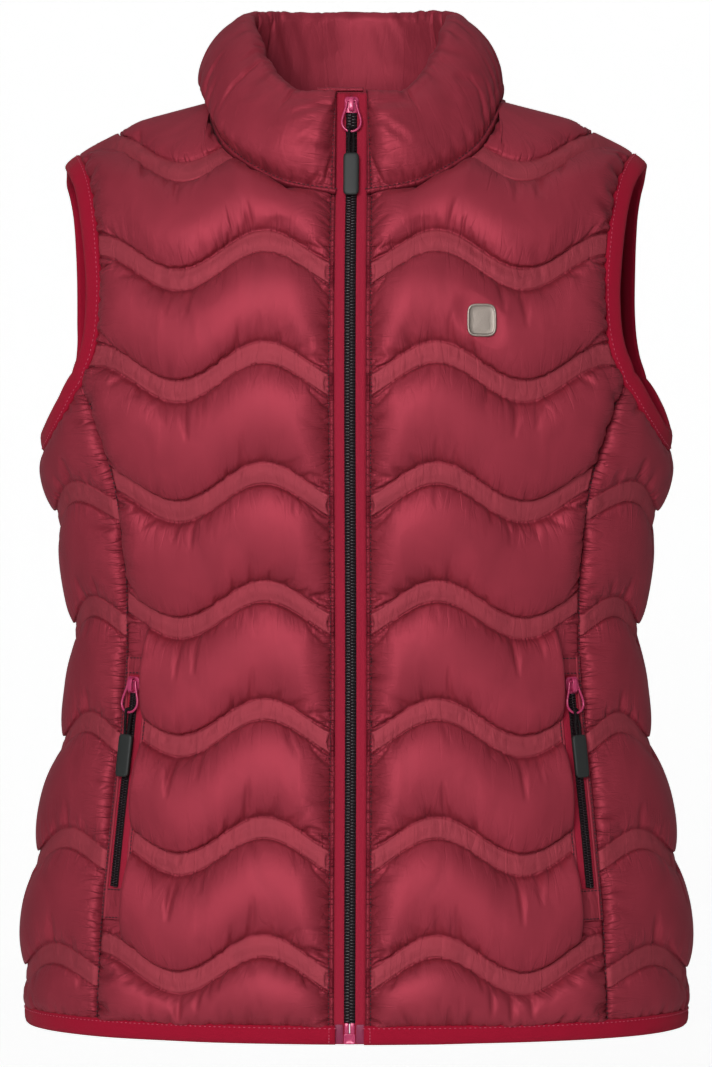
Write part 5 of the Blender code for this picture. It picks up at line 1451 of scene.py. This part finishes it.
# A binding along a path: the outline above at each point, with a ripple in its height and
# width. Gives back the line of its stitches and the outward normal there.
def makeBinding(name, path, centre, width, seed, node, flip=False):
    normal, away = edgeDirections(path, centre)
    count = len(path)
    noise = smoothNoise(seed, (count, 3), (count // 7, 1))
    broad = smoothNoise(seed + 1, (count, 3), (count // 25, 1))
    if centre is not None:  # the ripple meets itself where the loop closes
        fade = np.minimum(1, np.minimum(np.arange(count), np.arange(count)[::-1]) / 12)[:, None]
        noise, broad = noise * fade, broad * fade
    share, rise = bindingOutline[:, 0], bindingOutline[:, 1]
    arch = np.sin(math.pi * np.clip(share, 0, 1)) ** 0.5
    lift = binding["ripple"] * (noise[:, :1] + 1.2 * broad[:, :1]) * arch
    reach = share * (width + binding["lap"]) * (1 + 0.03 * broad[:, 1:2] * (share > 0.8)) - binding["lap"]
    points = path[:, None] + away[:, None] * reach[..., None] + normal[:, None] * (
        rise + lift * (rise > 0.002))[..., None]
    out = armholeOut["right" if flip else "left"]
    points = standOut(points, out, out)
    run = runAlong(path)
    uv = np.stack(np.broadcast_arrays(run[:, None], runAlong(points[0])[None, :]), axis=-1)
    if centre is not None:
        points = np.concatenate([points, points[:1]])
        uv = np.concatenate([uv, uv[-1:] + [binding["pitch"], 0.0]])
    grids = stripGrids(points, ((-1.0, 0, 0), (1.0, 0, 0)) if centre is None else (), uv)
    if flip:
        for grid in grids:
            grid["points"] = mirrored(grid["points"])
            grid["outward"] = mirrored(np.asarray(grid["outward"], float))
    piece = meshObject(name, grids, elasticKnit, weld=0.000005)
    finishPiece(piece, "garment", "binding", node)
    seamLine = standOut(path + away * 0.0002 + normal * binding["stitch"], out, out)
    return mirrored(seamLine) if flip else seamLine, mirrored(normal) if flip else normal


armhole, hem = armholePath(), hemPath()
armCentre = (0.200, -0.005, -0.120)
edgeRows = []
for word, flip, seed in (("Left", False, 61), ("Right", True, 71)):
    line, outward = makeBinding("armholeBinding" + word, armhole, armCentre, binding["arm"], seed,
                                "armhole_binding_" + word.lower(), flip)
    edgeRows.append((line, outward, binding["stitchPitch"]))
line, outward = makeBinding("hemBinding", hem, None, binding["hem"], 81, "hem_binding")
edgeRows.append((line, outward, binding["stitchPitch"]))
hemNormal, hemAway = edgeDirections(hem)
for at in (2, -3):  # a bar of stitches holds each folded end of the hem binding
    down = np.linspace(0.0006, 0.0092, 8)[:, None]
    edgeRows.append((hem[at] + hemAway[at] * down + hemNormal[at] * binding["stitch"], hemNormal[at],
                     binding["barPitch"]))
stitchObject("bindingStitches", edgeRows, edgeThread, slot="binding", size=0.75)
print("bindings made")


# Centre zip, in the narrow gap between the fronts
zipSizes = {"tapeThick": 0.0012, "chainThick": 0.0026, "top": 0.0042,
            "bottom": -0.6360, "chainTop": -0.0068, "chainBottom": -0.6218, "toothPitch": 0.00212,
            "boxTop": -0.6289, "boxHalf": 0.0040, "boxThick": 0.0042,
            "pinThick": 0.0030, "garageReach": 0.0235, "garageEnd": 0.0078, "garageWave": 0.00022,
            "toothReach": 0.0040, "toothHeight": 0.00140, "coreHalf": 0.0039, "coreRise": 0.0007,
            "points": 300}
sliderSizes = {"half": 0.0048, "length": 0.0112, "plate": 0.0014, "top": 0.0012, "bridgeHalf": 0.0017,
               "bridgeLength": 0.0100, "bridgeRise": 0.0042, "bridgeWall": 0.0011, "postHalf": 0.0038,
               "post": 0.0022}
pullSizes = {"wire": 0.0008, "length": 0.0215, "topHalf": 0.0032, "bottomHalf": 0.0064,
             "play": 0.0005, "cord": 0.0140, "gripHalf": 0.0053, "grip": 0.0290,
             "gripThick": 0.0034, "clearance": 0.0020, "cordApart": 0.00155, "cordBehind": 0.0011,
             "cordThick": 0.00108, "twist": 0.0024, "ply": 0.0008}
# Outline of a tape: share of its width, height as a share of half its thickness
tapeOutline = np.array((
    (0.0, 0.2), (0.0, 0.5), (0.36, 0.5), (0.42, 1.1), (0.50, 1.3), (0.58, 0.8), (0.78, 0.8), (1.0, 0.7),
    (1.0, -1.0), (0.5, -1.0),
))


# Depth of the middle of the front edges at each height: the chest, then the collar's front.
def zipDepth(heights):
    chest = bodyPoint(np.full_like(heights, cut["zipEdge"]), heights, False)[:, 1] - collar["wall"] / 2
    middle = collarShape["middle"][:, 0]
    above = np.interp(heights, middle[:, 2], middle[:, 1])
    return np.where(heights < middle[0, 2], chest, above)


# A woven tape between two x values: a flat strip with a corded edge, following the front edges.
def makeTape(name, near, far, node):
    heights = np.linspace(zipSizes["bottom"], zipSizes["top"], 330)
    depth = zipDepth(heights)
    x = near + (far - near) * tapeOutline[:, 0]
    y = depth[:, None] - tapeOutline[None, :, 1] * zipSizes["tapeThick"] / 2
    points = np.stack(np.broadcast_arrays(x[None, :], y, heights[:, None]), axis=-1)
    run = heights[:, None] - heights[0]
    uv = np.stack(np.broadcast_arrays(np.abs(x)[None, :], run), axis=-1)
    piece = meshObject(name, stripGrids(points, ((0, 0, -1.0), (0, 0, 1.0)), uv), zipTapeCloth,
                       weld=0.000005)
    finishPiece(piece, "garment", "tape", node)


# Rings of one tooth in local axes: a bar that reaches across, up and out, with a wider head.
def toothRings(length, tall, deep):
    turn = np.linspace(0, 2 * math.pi, 8, endpoint=False) + math.pi / 8
    square = np.stack([np.sign(np.cos(turn)) * np.abs(np.cos(turn)) ** 0.5,
                       np.sign(np.sin(turn)) * np.abs(np.sin(turn)) ** 0.5], axis=1)
    rings = []
    for place, height, depth in ((0.0, 0.75, 0.80), (0.06, 0.92, 0.95), (0.45, 0.86, 0.92),
                                 (0.72, 1.0, 1.0), (0.92, 0.92, 0.92), (1.0, 0.55, 0.6)):
        rings.append(np.stack([np.full(8, place * length), square[:, 0] * tall / 2 * height,
                               square[:, 1] * deep / 2 * depth], axis=1))
    return np.array(rings)


# Two staggered columns of teeth along a line; across and out at each point of it.
def makeTeeth(name, line, across, out, sizes, *nodes):
    length, tall, deep, pitch = sizes
    origins, sides, ups, outs = [], [], [], []
    for side, start in ((1.0, 0), (-1.0, 1)):
        middle = resample(line, pitch / 2)[0][start::2]
        share, place = np.linspace(0, 1, len(middle)), np.linspace(0, 1, len(line))
        sideways, outward = readAt(share, place, across), readAt(share, place, out)
        along = unit(np.gradient(middle, axis=0))
        origins.append(middle + sideways * side * (length - 0.00045))
        sides.append(-sideways * side)
        ups.append(along)
        outs.append(outward)
    piece = manyObject(name, toothRings(length, tall, deep), np.concatenate(origins),
                       np.concatenate(sides), np.concatenate(ups), np.concatenate(outs), toothPlastic)
    finishPiece(piece, "garment", "teeth", *nodes)


# Rings of the slider's body plates and its bridge, in the slider's own axes.
def makeSlider(name, axes, backPlate, node):
    size, gap = sliderSizes, cut["seamGap"]
    half, long = size["half"], size["length"] / 2
    turn = np.linspace(0, 1, 7)
    # broad above, where the two rows part, and drawn in below
    right = [(half * 0.74, -long), (half * 0.80, -long * 0.55), (half * 0.86, -long * 0.1),
             (half * 0.98, long * 0.30), (half, long * 0.62), (half * 0.90, long * 0.86),
             (half * 0.62, long)]
    outline = np.array(right + [(-x, y) for x, y in right[::-1]])
    front = gap + size["plate"]
    stacks = [plateRings(outline, gap, front, 0.00035, axes)]
    for side in (-1, 1):  # rims that guide the tape
        rim = np.array([(side * (half - 0.0009), -long * 0.85), (side * half * 0.99, -long * 0.2),
                        (side * half * 0.99, long * 0.55), (side * (half - 0.0009), long * 0.7),
                        (side * (half - 0.0013), 0.0)])
        stacks.append(plateRings(rim, gap - 0.0002, gap + 0.0005, 0.0001, axes))
    if backPlate:
        behind = -zipSizes["chainThick"] - gap
        stacks.append(plateRings(outline * 0.8, behind - size["plate"], behind, 0.00035, axes))
        post = softRectangle(size["postHalf"] * 0.7, size["post"] / 2 * 0.9, 4, 12)
        post[:, 1] += long - size["post"] / 2
        stacks.append(plateRings(post, behind - 0.0004, gap + 0.0004, 0.0002, axes))
    # bridge: a flat strap that rises from the plate, runs down over the pull and returns
    start, end = -size["bridgeLength"] / 2, size["bridgeLength"] / 2
    top, foot = front + size["bridgeRise"] - size["bridgeWall"] / 2, front - 0.0004
    t = np.linspace(0, math.pi / 2, 5)
    bend = 0.0016
    upper = [(end - size["bridgeWall"] / 2, foot)]
    upper += [(end - size["bridgeWall"] / 2 - bend + bend * math.cos(a), top - bend + bend * math.sin(a))
              for a in t]
    lower = [(start + 0.0010 + bend - bend * math.cos(a), top - bend + bend * math.sin(a)) for a in t[::-1]]
    lower += [(start + 0.0010, foot)]
    path = np.array(upper + lower)
    section = softRectangle(size["bridgeHalf"], size["bridgeWall"] / 2, 4, 12)
    along = unit(np.gradient(path, axis=0))
    outwards = np.stack([along[:, 1], -along[:, 0]], axis=1)
    thick = np.ones(len(path))
    thick[-4:] = (1.2, 1.45, 1.7, 1.9)  # the lower leg is sturdier
    rings = []
    for (up, out), (nUp, nOut), wide in zip(path, outwards, thick):
        rings.append(np.stack([section[:, 0], up + nUp * section[:, 1] * wide,
                               out + nOut * section[:, 1] * wide], axis=1))
    stacks.append(inAxes(axes, np.array(rings)))
    finishPiece(solidObject(name, stacks, pinkEnamel), "garment", "pull", node)


# Wire loop: narrow where it passes through the bridge, round and wide below.
def loopPath():
    size = pullSizes
    low = -size["length"] + size["bottomHalf"]
    corner = 0.0011
    turns = np.radians(np.linspace(180, 360, 25))
    bottom = [(math.cos(a) * size["bottomHalf"], low + math.sin(a) * size["bottomHalf"]) for a in turns]
    topLeft = [(-size["topHalf"] + corner - corner * math.cos(a), -corner + corner * math.sin(a))
               for a in np.radians(np.linspace(0, 90, 5))]
    left = np.array(topLeft)
    right = np.stack([-left[::-1, 0], left[::-1, 1]], axis=1)
    drop = np.linspace(0, 1, 9)[1:-1]
    ease = smoothStep(drop)
    down = np.stack([size["topHalf"] + (size["bottomHalf"] - size["topHalf"]) * ease,
                     -corner + (low + corner) * drop], axis=1)
    down[drop < 0.25, 0] = size["topHalf"] + 0.0001
    up = np.stack([-down[::-1, 0], down[::-1, 1]], axis=1)
    return np.concatenate([left, right, down, np.array(bottom)[::-1], up])


# Wire loop, doubled cord and rubber tab, hanging from the origin of their axes.
def makePull(word, axes, body, nodes):
    size = pullSizes
    path = loopPath()
    ring = inAxes(axes, np.concatenate([path, np.zeros((len(path), 1))], axis=1))
    rings = tubeRings(ring, axes["out"], size["wire"], 10, closed=True)
    loop = meshObject(word + "Loop", stripGrids(np.concatenate([rings, rings[:1]]), ()), pinkEnamel,
                      weld=0.000002)
    finishPiece(loop, body, "pull", nodes[0])
    tabTop = -size["length"] - size["wire"] - cut["seamGap"] - size["cord"]
    # cord: up in front of the wire, over it and down behind, its two ends side by side
    crown = -size["length"] + size["wire"] + 0.0012
    t = np.linspace(0, 1, 15)
    apart, behind = size["cordApart"], size["cordBehind"]
    rise = np.stack([-apart + 0.0002 * np.sin(t * 9), tabTop - 0.0012 + (crown - 0.0022 - tabTop) * t,
                     behind * smoothStep((t - 0.45) / 0.5)], axis=1)
    a = np.radians(np.linspace(165, 15, 8))
    over = np.stack([apart * np.cos(a), crown - 0.0008 + 0.0012 * np.sin(a), -behind * np.cos(a)], axis=1)
    fall = rise[::-1] * np.array([-1, 1, -1])
    route = inAxes(axes, np.concatenate([rise, over, fall]))
    route, at = resample(route, 0.00035)
    turns = at * 2 * math.pi
    radius = size["cordThick"] * (1 + 0.09 * np.sin(turns / size["twist"]))
    radius = radius + 0.00003 * np.sin(turns / size["ply"])
    rings = tubeRings(route, axes["out"], radius, 9)
    cord = solidObject(word + "Cord", [rings], blackCord)
    finishPiece(cord, body, "grip")
    # tab: flat and round ended, a little thicker in the middle
    sections = []
    half, thick, long = size["gripHalf"], size["gripThick"] / 2, size["grip"]
    for below, wide, deep in ((0.0, 0.60, 0.72), (0.0002, 0.74, 0.86), (0.0008, 0.88, 0.96),
                              (0.0018, 0.97, 1.0), (0.0034, 1.0, 1.0), (0.010, 1.0, 1.0), (0.018, 0.99, 1.0),
                              (long - 0.0036, 1.0, 1.0), (long - 0.0022, 0.965, 0.98),
                              (long - 0.0011, 0.87, 0.92), (long - 0.0004, 0.72, 0.80), (long, 0.50, 0.55)):
        outline = softRectangle(half * wide, thick * deep, 3.6, 24)
        sections.append(np.stack([outline[:, 0], np.full(24, tabTop - below), outline[:, 1]], axis=1))
    tab = solidObject(word + "Tab", [inAxes(axes, np.array(sections))], rubberTab)
    finishPiece(tab, body, "grip", nodes[1])


# Slider with its pull on a zip; line gives points of the chain's face at the slider's middle,
# over it, under it and at the end of the grip.
def makeSliderSet(word, line, out, backPlate, nodes, body):
    middle, over, under, end = line
    axes = makeAxes(middle, over - under, out)
    makeSlider(word + "Slider", axes, backPlate, nodes[0])
    size = sliderSizes
    room = size["bridgeRise"] - size["bridgeWall"] - pullSizes["play"]
    pivotOut = cut["seamGap"] + size["plate"] + room / 2
    pivotUp = size["bridgeLength"] / 2 - size["bridgeWall"] - pullSizes["wire"] - pullSizes["play"]
    pivot = inAxes(axes, [0.0, pivotUp, pivotOut])
    along = makeAxes(middle, middle - end, out)
    reach = pullSizes["length"] + pullSizes["cord"] + pullSizes["grip"]
    needed = pullSizes["clearance"] + pullSizes["gripThick"] / 2
    lean = math.asin((needed - float((pivot - middle) @ along["out"])) / reach)
    hanging = leanOut(makeAxes(pivot, along["up"], along["out"]), -lean)
    makePull(word, hanging, body, nodes[1:])


# Heights of a slider's middle, top and bottom, and of the end of its grip.
def sliderHeights(middle):
    reach = pullSizes["length"] + pullSizes["cord"] + pullSizes["grip"]
    return middle + np.array([0.0, sliderSizes["length"] / 2, -sliderSizes["length"] / 2, -reach])


# Dark woven core that fills the space between and behind two columns of teeth; line runs
# along its middle, and half is half its width.
def makeCore(name, line, across, out, half, rise):
    share = np.array([-1.0, -0.96, -0.3, 0.3, 0.96, 1.0, 0.9, -0.9])
    high = np.array([0.0, 0.8, 1.0, 1.0, 0.8, 0.0, -0.5, -0.5]) * rise
    points = (line[:, None] + across[:, None] * (share * half)[None, :, None]
              + out[:, None] * high[None, :, None])
    grids = stripGrids(points, (line[0] - line[1], line[-1] - line[-2]))
    finishPiece(meshObject(name, grids, blackCord, weld=0.000005), "garment", "teeth")


# Both tapes, the teeth and their core, and the slider at the top.
def makeCentreZip():
    size, gap = zipSizes, cut["seamGap"]
    for word, side in (("Left", 1), ("Right", -1)):
        makeTape("zipTape" + word, side * gap, side * (cut["zipEdge"] + gap), "zip_tape_" + word.lower())
    heights = np.linspace(size["chainBottom"], size["chainTop"], size["points"])
    line = np.stack([np.zeros(size["points"]), zipDepth(heights), heights], axis=1)
    across = np.broadcast_to(np.array([1.0, 0, 0]), line.shape)
    out = np.broadcast_to(np.array([0, -1.0, 0]), line.shape)
    sizes = (size["toothReach"], size["toothHeight"], size["chainThick"], size["toothPitch"])
    makeTeeth("zipTeeth", line, across, out, sizes, "zip_chain")
    makeCore("zipCore", line, across, out, size["coreHalf"], size["coreRise"])
    places = sliderHeights(sliderSizes["top"] - sliderSizes["length"] / 2)
    face = zipDepth(places) - size["chainThick"] / 2
    makeSliderSet("zip", np.stack([np.zeros(4), face, places], axis=1), (0, -1, 0), True,
                  ("zip_slider", "zip_pull", "zip_pull_grip"), "zip_pull")


# Rounded rectangles at the zip's end: half width, half height, roundness, points, middle
filmRectangle = (0.0029, 0.0064, 8, 20, 0.0072, -0.6292)
pinRectangle = (0.00155, 5, 20, 0.0019)


# The end of the zip: two pins over a box, and a film on each tape's end.
def makeZipEnd():
    size = zipSizes
    top, boxTop, bottom = size["chainBottom"] - 0.0003, size["boxTop"], size["bottom"]
    axes = makeAxes((0, zipDepth(np.array([boxTop, bottom])).mean(), 0), (0, 0, 1), (0, -1, 0))
    stacks, films = [], []
    half, power, count, apart = pinRectangle
    for side in (-1, 1):
        pin = softRectangle(half, (top - boxTop) / 2 + 0.0004, power, count)
        pin += (side * apart, (top + boxTop) / 2)
        stacks.append(plateRings(pin, -size["pinThick"] / 2, size["pinThick"] / 2, 0.0004, axes))
    box = softRectangle(size["boxHalf"], (boxTop - bottom) / 2, 7, 28)
    box += (0.0, (boxTop + bottom) / 2)
    stacks.append(plateRings(box, -size["boxThick"] / 2, size["boxThick"] / 2, 0.0006, axes, dish=0.0003))
    finishPiece(solidObject("zipPinBox", stacks, pinkEnamel), "garment", "pull", "zip_pin_box")
    half, high, power, count, apart, height = filmRectangle
    face = size["tapeThick"] / 2
    for side in (-1, 1):
        film = softRectangle(half, high, power, count) + (side * apart, height)
        films.append(plateRings(film, face - 0.0001, face + 0.0003, 0.0001, axes))
    finishPiece(solidObject("tapeEndFilms", films, clearFilm), "garment", "tape")


# Small folded patch along the right front corner of the collar's top, out over the zip's end.
def makeGarage():
    outline = np.array(((-0.0030, 0.0000), (-0.0037, 0.0006), (-0.0036, 0.0014), (-0.0029, 0.0021),
                        (-0.0012, 0.0025), (0.0010, 0.0026), (0.0028, 0.0023), (0.0038, 0.0016),
                        (0.0041, 0.0008), (0.0038, 0.0000), (0.0000, -0.0001)))
    ridge = collarShape["middle"][-1]
    ridge = ridge[ridge[:, 1] < 0]
    ridge = ridge[np.argsort(ridge[:, 0])]
    x = np.linspace(-zipSizes["garageReach"], zipSizes["garageEnd"], 40)
    on = np.minimum(x, -cut["zipEdge"])
    y, z = np.interp(on, ridge[:, 0], ridge[:, 1]), np.interp(on, ridge[:, 0], ridge[:, 2]) + 0.0006
    wave = smoothNoise(91, (40, len(outline)), (9, 3)) * zipSizes["garageWave"]
    high = outline[None, :, 1] * (1 + wave * 300) + wave * (outline[:, 1] > 0.001)
    points = np.stack([np.broadcast_to(x[:, None], wave.shape), y[:, None] + outline[None, :, 0],
                       z[:, None] + high], axis=-1)
    uv = np.stack(np.broadcast_arrays(x[:, None], np.linspace(0, 0.014, len(outline))[None, :]), axis=-1)
    # an even amount of painted shade over the patch, more on its ends
    grids = stripGrids(points, ((-1.0, 0, 0), (1.0, 0, 0)), uv, {"pucker": 0.7, "hollow": 0.15},
                       {"pucker": 0.3, "hollow": 0.3})
    piece = meshObject("zipGarage", grids, satinNylon, weld=0.000005)
    finishPiece(piece, "garment", "cloth", "zip_garage")


makeCentreZip()
makeZipEnd()
makeGarage()
print("centre zip made")


pocketZip = {"patchTop": 0.0130, "patchBottom": 0.0215, "thick": 0.0013, "gap": 0.00045,
             "tapeThick": 0.0008, "chainThick": 0.0019, "sliderDrop": 0.0065, "wider": 0.0022,
             "toothReach": 0.0032, "toothHeight": 0.00112, "toothDeep": 0.0030, "toothPitch": 0.00180,
             "coreHalf": 0.0031, "coreRise": 0.0002, "stitchPitch": 0.0026, "noise": 0.00025,
             "patchNoise": 0.00035, "roll": 0.0012, "rows": 120, "linePoints": 100, "stitchPoints": 80}
# A border from its outer edge to the tape, and the tape across: share of the width, then height
# as a share of its thickness
borderOutline = np.array((
    (0.0, 0.10), (0.06, 0.75), (0.22, 0.95), (0.42, 0.70), (0.66, 1.05), (0.86, 1.15), (1.0, 0.35),
))
pocketTapeOutline = np.array((
    (1.0, 0.5), (0.8, 0.8), (0.5, 0.9), (0.0, 0.7), (-0.5, 0.9), (-0.8, 0.8), (-1.0, 0.5),
))


# Point at a distance in front of the princess seam, raised over the front's inner surface.
def pocketPoint(distance, height, rise, side):
    point = bodyPoint(edgeWidth(frontEdge, height) - distance, height, False)
    point = point + bodyNormal(point) * np.asarray(rise)[..., None]
    return point if side > 0 else mirrored(point)


# A flat piece on the pocket: rows up, columns across, closed behind; rises over the panel.
def pocketSheet(name, distances, heights, rises, side, material, slot, masks, *nodes):
    gridD, gridZ = np.meshgrid(distances, heights)
    rise = np.broadcast_to(rises, gridD.shape)
    low = np.full(gridD.shape, collar["wall"] + 0.0001)
    front, behind = pocketPoint(gridD, gridZ, rise, side), pocketPoint(gridD, gridZ, low, side)
    normal = bodyNormal(front)
    uv = np.stack([-gridD * side, gridZ], axis=-1)
    rim, foot = border(front), border(behind)
    grids = [{"points": front, "outward": normal, "uv": uv, "masks": masks},
             {"points": behind, "outward": -normal, "uv": uv, "masks": masks},
             {"points": np.stack([rim, foot]), "around": True, "masks": masks,
              "outward": np.stack([rim, foot]) - rim.mean(axis=0)}]
    piece = meshObject(name, grids, material, weld=0.000005)
    return finishPiece(piece, "garment", slot, *nodes)


# A row of stitches on the pocket at one height over it.
def pocketStitches(distances, heights, rise, side):
    distances, heights = np.broadcast_arrays(distances, heights)
    path = pocketPoint(distances, heights, np.full(distances.shape, rise), side)
    return path, bodyNormal(path), pocketZip["stitchPitch"]


# Welt, end patches, tape, chain, slider and stitching of one pocket.
def makePocket(word, side):
    size, gap = pocketZip, collar["wall"] + pocketZip["gap"]
    top, bottom = pocket["top"], pocket["bottom"]
    tapeTop, tapeLow = top - size["patchTop"], bottom + size["patchBottom"]
    inner, outer = pocket["outer"] + pocket["width"] + size["wider"], pocket["outer"]
    lip, thick, ending = pocket["lip"], size["thick"], word.lower()
    noise = smoothNoise(101 if side > 0 else 111, (size["rows"], len(borderOutline)), (26, 3)) * size["noise"]
    # the two borders are folded cloth, topstitched, rising to a rolled edge beside the tape
    z = np.linspace(bottom, top, size["rows"])
    share, fold = borderOutline[:, 0], borderOutline[:, 1] * thick
    # an even amount of painted shade over the pocket's cloth pieces
    masks = {"pucker": 0.55, "hollow": 0.20, "strip": 0.2}
    sheets = [pocketSheet("pocketBorderFront" + word, inner + 0.0006 - share * (lip + 0.0008), z,
                          gap + fold + noise, side, satinNylon, "cloth", masks, "pocket_welt_" + ending),
              pocketSheet("pocketBorderBack" + word, outer - 0.0006 + share * (lip + 0.0006), z,
                          gap + fold + noise[::-1], side, satinNylon, "cloth", masks)]
    # end patches of plain cloth with a turned-in edge towards the zip
    across = np.linspace(inner - 0.0006, outer + 0.0006, 13)
    for name, low, high, edge, count, seed in (("pocketPatchTop", tapeTop, top, tapeTop, 18, 121),
                                               ("pocketPatchBottom", bottom, tapeLow, tapeLow, 26, 131)):
        zz = np.linspace(low, high, count)
        away = np.abs(zz - edge) / size["roll"]
        roll = np.where(away < 1.0, 0.35 + 0.85 * np.sin(np.clip(away, 0, 1) * math.pi * 0.62), 0.88)
        wrinkle = smoothNoise(seed + (side < 0), (count, len(across)), (5, 3)) * size["patchNoise"]
        sheets.append(pocketSheet(name + word, across, zz, gap + thick * 0.80 * roll[:, None] + wrinkle,
                                  side, satinNylon, "cloth", masks))
    # tape under the teeth
    middle = outer + pocket["width"] / 2
    low, high = outer + lip - 0.0004, inner - lip + 0.0004
    tapeZ = np.linspace(tapeLow - 0.0012, tapeTop + 0.0012, 90)
    tape = pocketSheet("pocketTape" + word, (low + high) / 2 + pocketTapeOutline[:, 0] * (high - low) / 2,
                       tapeZ, gap - 0.0001 + size["tapeThick"] * pocketTapeOutline[:, 1], side,
                       zipTapeCloth, "tape", {}, "pocket_zip_" + ending)
    lineZ = np.linspace(tapeLow + 0.0006, tapeTop - size["sliderDrop"], size["linePoints"])
    rise = np.full(size["linePoints"], gap + size["chainThick"] * 0.62)
    line = pocketPoint(np.full(size["linePoints"], middle), lineZ, rise, side)
    beside = pocketPoint(np.full(size["linePoints"], middle - 0.001), lineZ, rise, side)
    sideways, out = unit(beside - line) * side, bodyNormal(line)
    makeTeeth("pocketTeeth" + word, line, sideways, out,
              (size["toothReach"], size["toothHeight"], size["toothDeep"], size["toothPitch"]))
    makeCore("pocketCore" + word, line, sideways, out, size["coreHalf"], size["coreRise"])
    places = sliderHeights(tapeTop - size["sliderDrop"])
    face = pocketPoint(np.full(4, middle), places, np.full(4, gap + size["chainThick"]), side)
    pull = "pocket_pull_" + ending
    makeSliderSet("pocket" + word, face, bodyNormal(face)[0], False,
                  ("pocket_slider_" + ending, pull, pull + "_grip"), pull)
    # topstitching: round the welt, over its end patches
    zz = np.linspace(bottom + 0.0015, top - 0.0015, size["stitchPoints"])
    rows = [pocketStitches(distance, zz, gap + thick * 0.86, side)
            for distance in (inner - 0.0004, outer + 0.0004)]
    dd = np.linspace(inner - 0.0012, outer + 0.0012, 16)
    rows += [pocketStitches(dd, height, gap + thick * 0.80, side)
             for height in (tapeTop + 0.0016, tapeLow - 0.0016, bottom + 0.0012, top - 0.0012)]
    stitchObject("pocketStitches" + word, rows, darkThread)


makePocket("Left", 1)
makePocket("Right", -1)
print("pockets made")


# Face of the badge, from its edge inwards: distance from the edge, depth below the rim
badgeFace = ((0.0, 0.0004), (0.00010, 0.00012), (0.00035, 0.0), (0.0011, 0.0), (0.0014, 0.00012),
             (0.0017, 0.00045), (0.0022, 0.00055), (0.0050, 0.00048), (0.0080, 0.00042))


# Plain rounded metal plate on the left chest, in the place of its solid.
def makeBadge():
    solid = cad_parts["badge"]
    points = np.array([list(solid.matrix_world @ v.co) for v in solid.data.vertices])
    centre = points.mean(axis=0)
    _, _, directions = np.linalg.svd(points - centre, full_matrices=False)
    out = directions[2] * np.sign(-directions[2][1])
    axes = makeAxes(centre, (0, 0, 1.0) - out * out[2], out)
    axes["out"] = np.cross(axes["across"], axes["up"])
    local = np.stack([(points - centre) @ axes[key] for key in ("across", "up", "out")], axis=1)
    halves = np.abs(local[:, :2]).max(axis=0)
    back, front = local[:, 2].min(), local[:, 2].max()
    outline = softRectangle(halves[0], halves[1], 4.0, 56)
    rings = []
    for inset, rise in [(0.0003, back), (0.0, back + 0.0003)] + [(x, front - y) for x, y in badgeFace]:
        pulled = outline * (1 - inset / np.linalg.norm(outline, axis=1, keepdims=True))
        rings.append(np.concatenate([pulled, np.full((len(outline), 1), rise)], axis=1))
    piece = solidObject("chestBadge", [inAxes(axes, np.array(rings))], pewter)
    finishPiece(piece, "garment", "badge", "badge")


makeBadge()
print("badge made")


# A pale studio: a floor that rises into a far backdrop all round, as one turned surface.
def makeStage():
    radii = np.array([0.0, 2.0, 4.0, 5.2, 6.0, 6.8, 7.5, 8.0, 8.2, 8.2])
    heights = np.array([0.0, 0.0, 0.0, 0.04, 0.20, 0.60, 1.30, 2.40, 4.00, 6.5]) - 1.25
    angles = np.linspace(0, 2 * math.pi, 96, endpoint=False)
    fine = np.linspace(0, 9, 60)
    radius = smoothCurve(np.arange(10), radii, fine)
    height = smoothCurve(np.arange(10), heights, fine)
    points = np.stack([radius[:, None] * np.cos(angles), radius[:, None] * np.sin(angles),
                       np.repeat(height[:, None], 96, axis=1)], axis=-1)
    material, tree, shader = newMaterial("paperBackdrop")
    surface = placeGroup(tree, grainGroup, Scale=3.0, Colour=(0.90, 0.90, 0.90, 1.0), Shift=0.02)
    tree.links.new(surface.outputs["Colour"], shader.inputs["Base Color"])
    shader.inputs["Roughness"].default_value = 0.95
    shader.inputs["Specular IOR Level"].default_value = 0.1
    # the paper is lit by lamps of its own, which reach the picture and not the garment
    seen = tree.nodes.new("ShaderNodeLightPath")
    shader.inputs["Emission Color"].default_value = (1.0, 1.0, 1.0, 1.0)
    tree.links.new(mathNode(tree, "MULTIPLY", seen.outputs["Is Camera Ray"], 0.80),
                   shader.inputs["Emission Strength"])
    backdrop = meshObject("backdrop", [{"points": points, "around": True,
                                        "outward": (0.0, 0.0, 1.0)}], material, weld=0.0001)


# A soft lamp that faces its target and isn't seen itself.
def addLight(name, place, target, size, watts):
    lamp = bpy.data.lights.new(name, "AREA")
    lamp.shape, lamp.size, lamp.size_y = "RECTANGLE", size[0], size[1]
    lamp.energy = watts
    piece = bpy.data.objects.new(name, lamp)
    bpy.context.collection.objects.link(piece)
    piece.location = place
    piece.rotation_euler = (Vector(target) - Vector(place)).to_track_quat("-Z", "Y").to_euler()
    piece.visible_camera = False


# Name, place, width and height, watts
lamps = (
    ("keyLight", (-0.5, -3.2, 0.55), (1.3, 1.3), 77),
    ("leftStrip", (-2.6, -1.6, 0.1), (0.6, 2.2), 2.5),
    ("rightStrip", (2.6, -1.4, 0.1), (0.6, 2.2), 2.5),
    ("topLight", (0.0, 0.2, 2.4), (2.4, 2.4), 10),
)
makeStage()
for name, place, size, watts in lamps:
    addLight(name, place, (0, 0, -0.3), size, watts)
world = bpy.data.worlds.new("studio")
bpy.context.scene.world = world
world.use_nodes = True
world.node_tree.nodes["Background"].inputs[0].default_value = (1.0, 1.0, 1.0, 1.0)
world.node_tree.nodes["Background"].inputs[1].default_value = 0.13
bpy.context.scene.view_settings.view_transform = "Standard"
print("studio made")
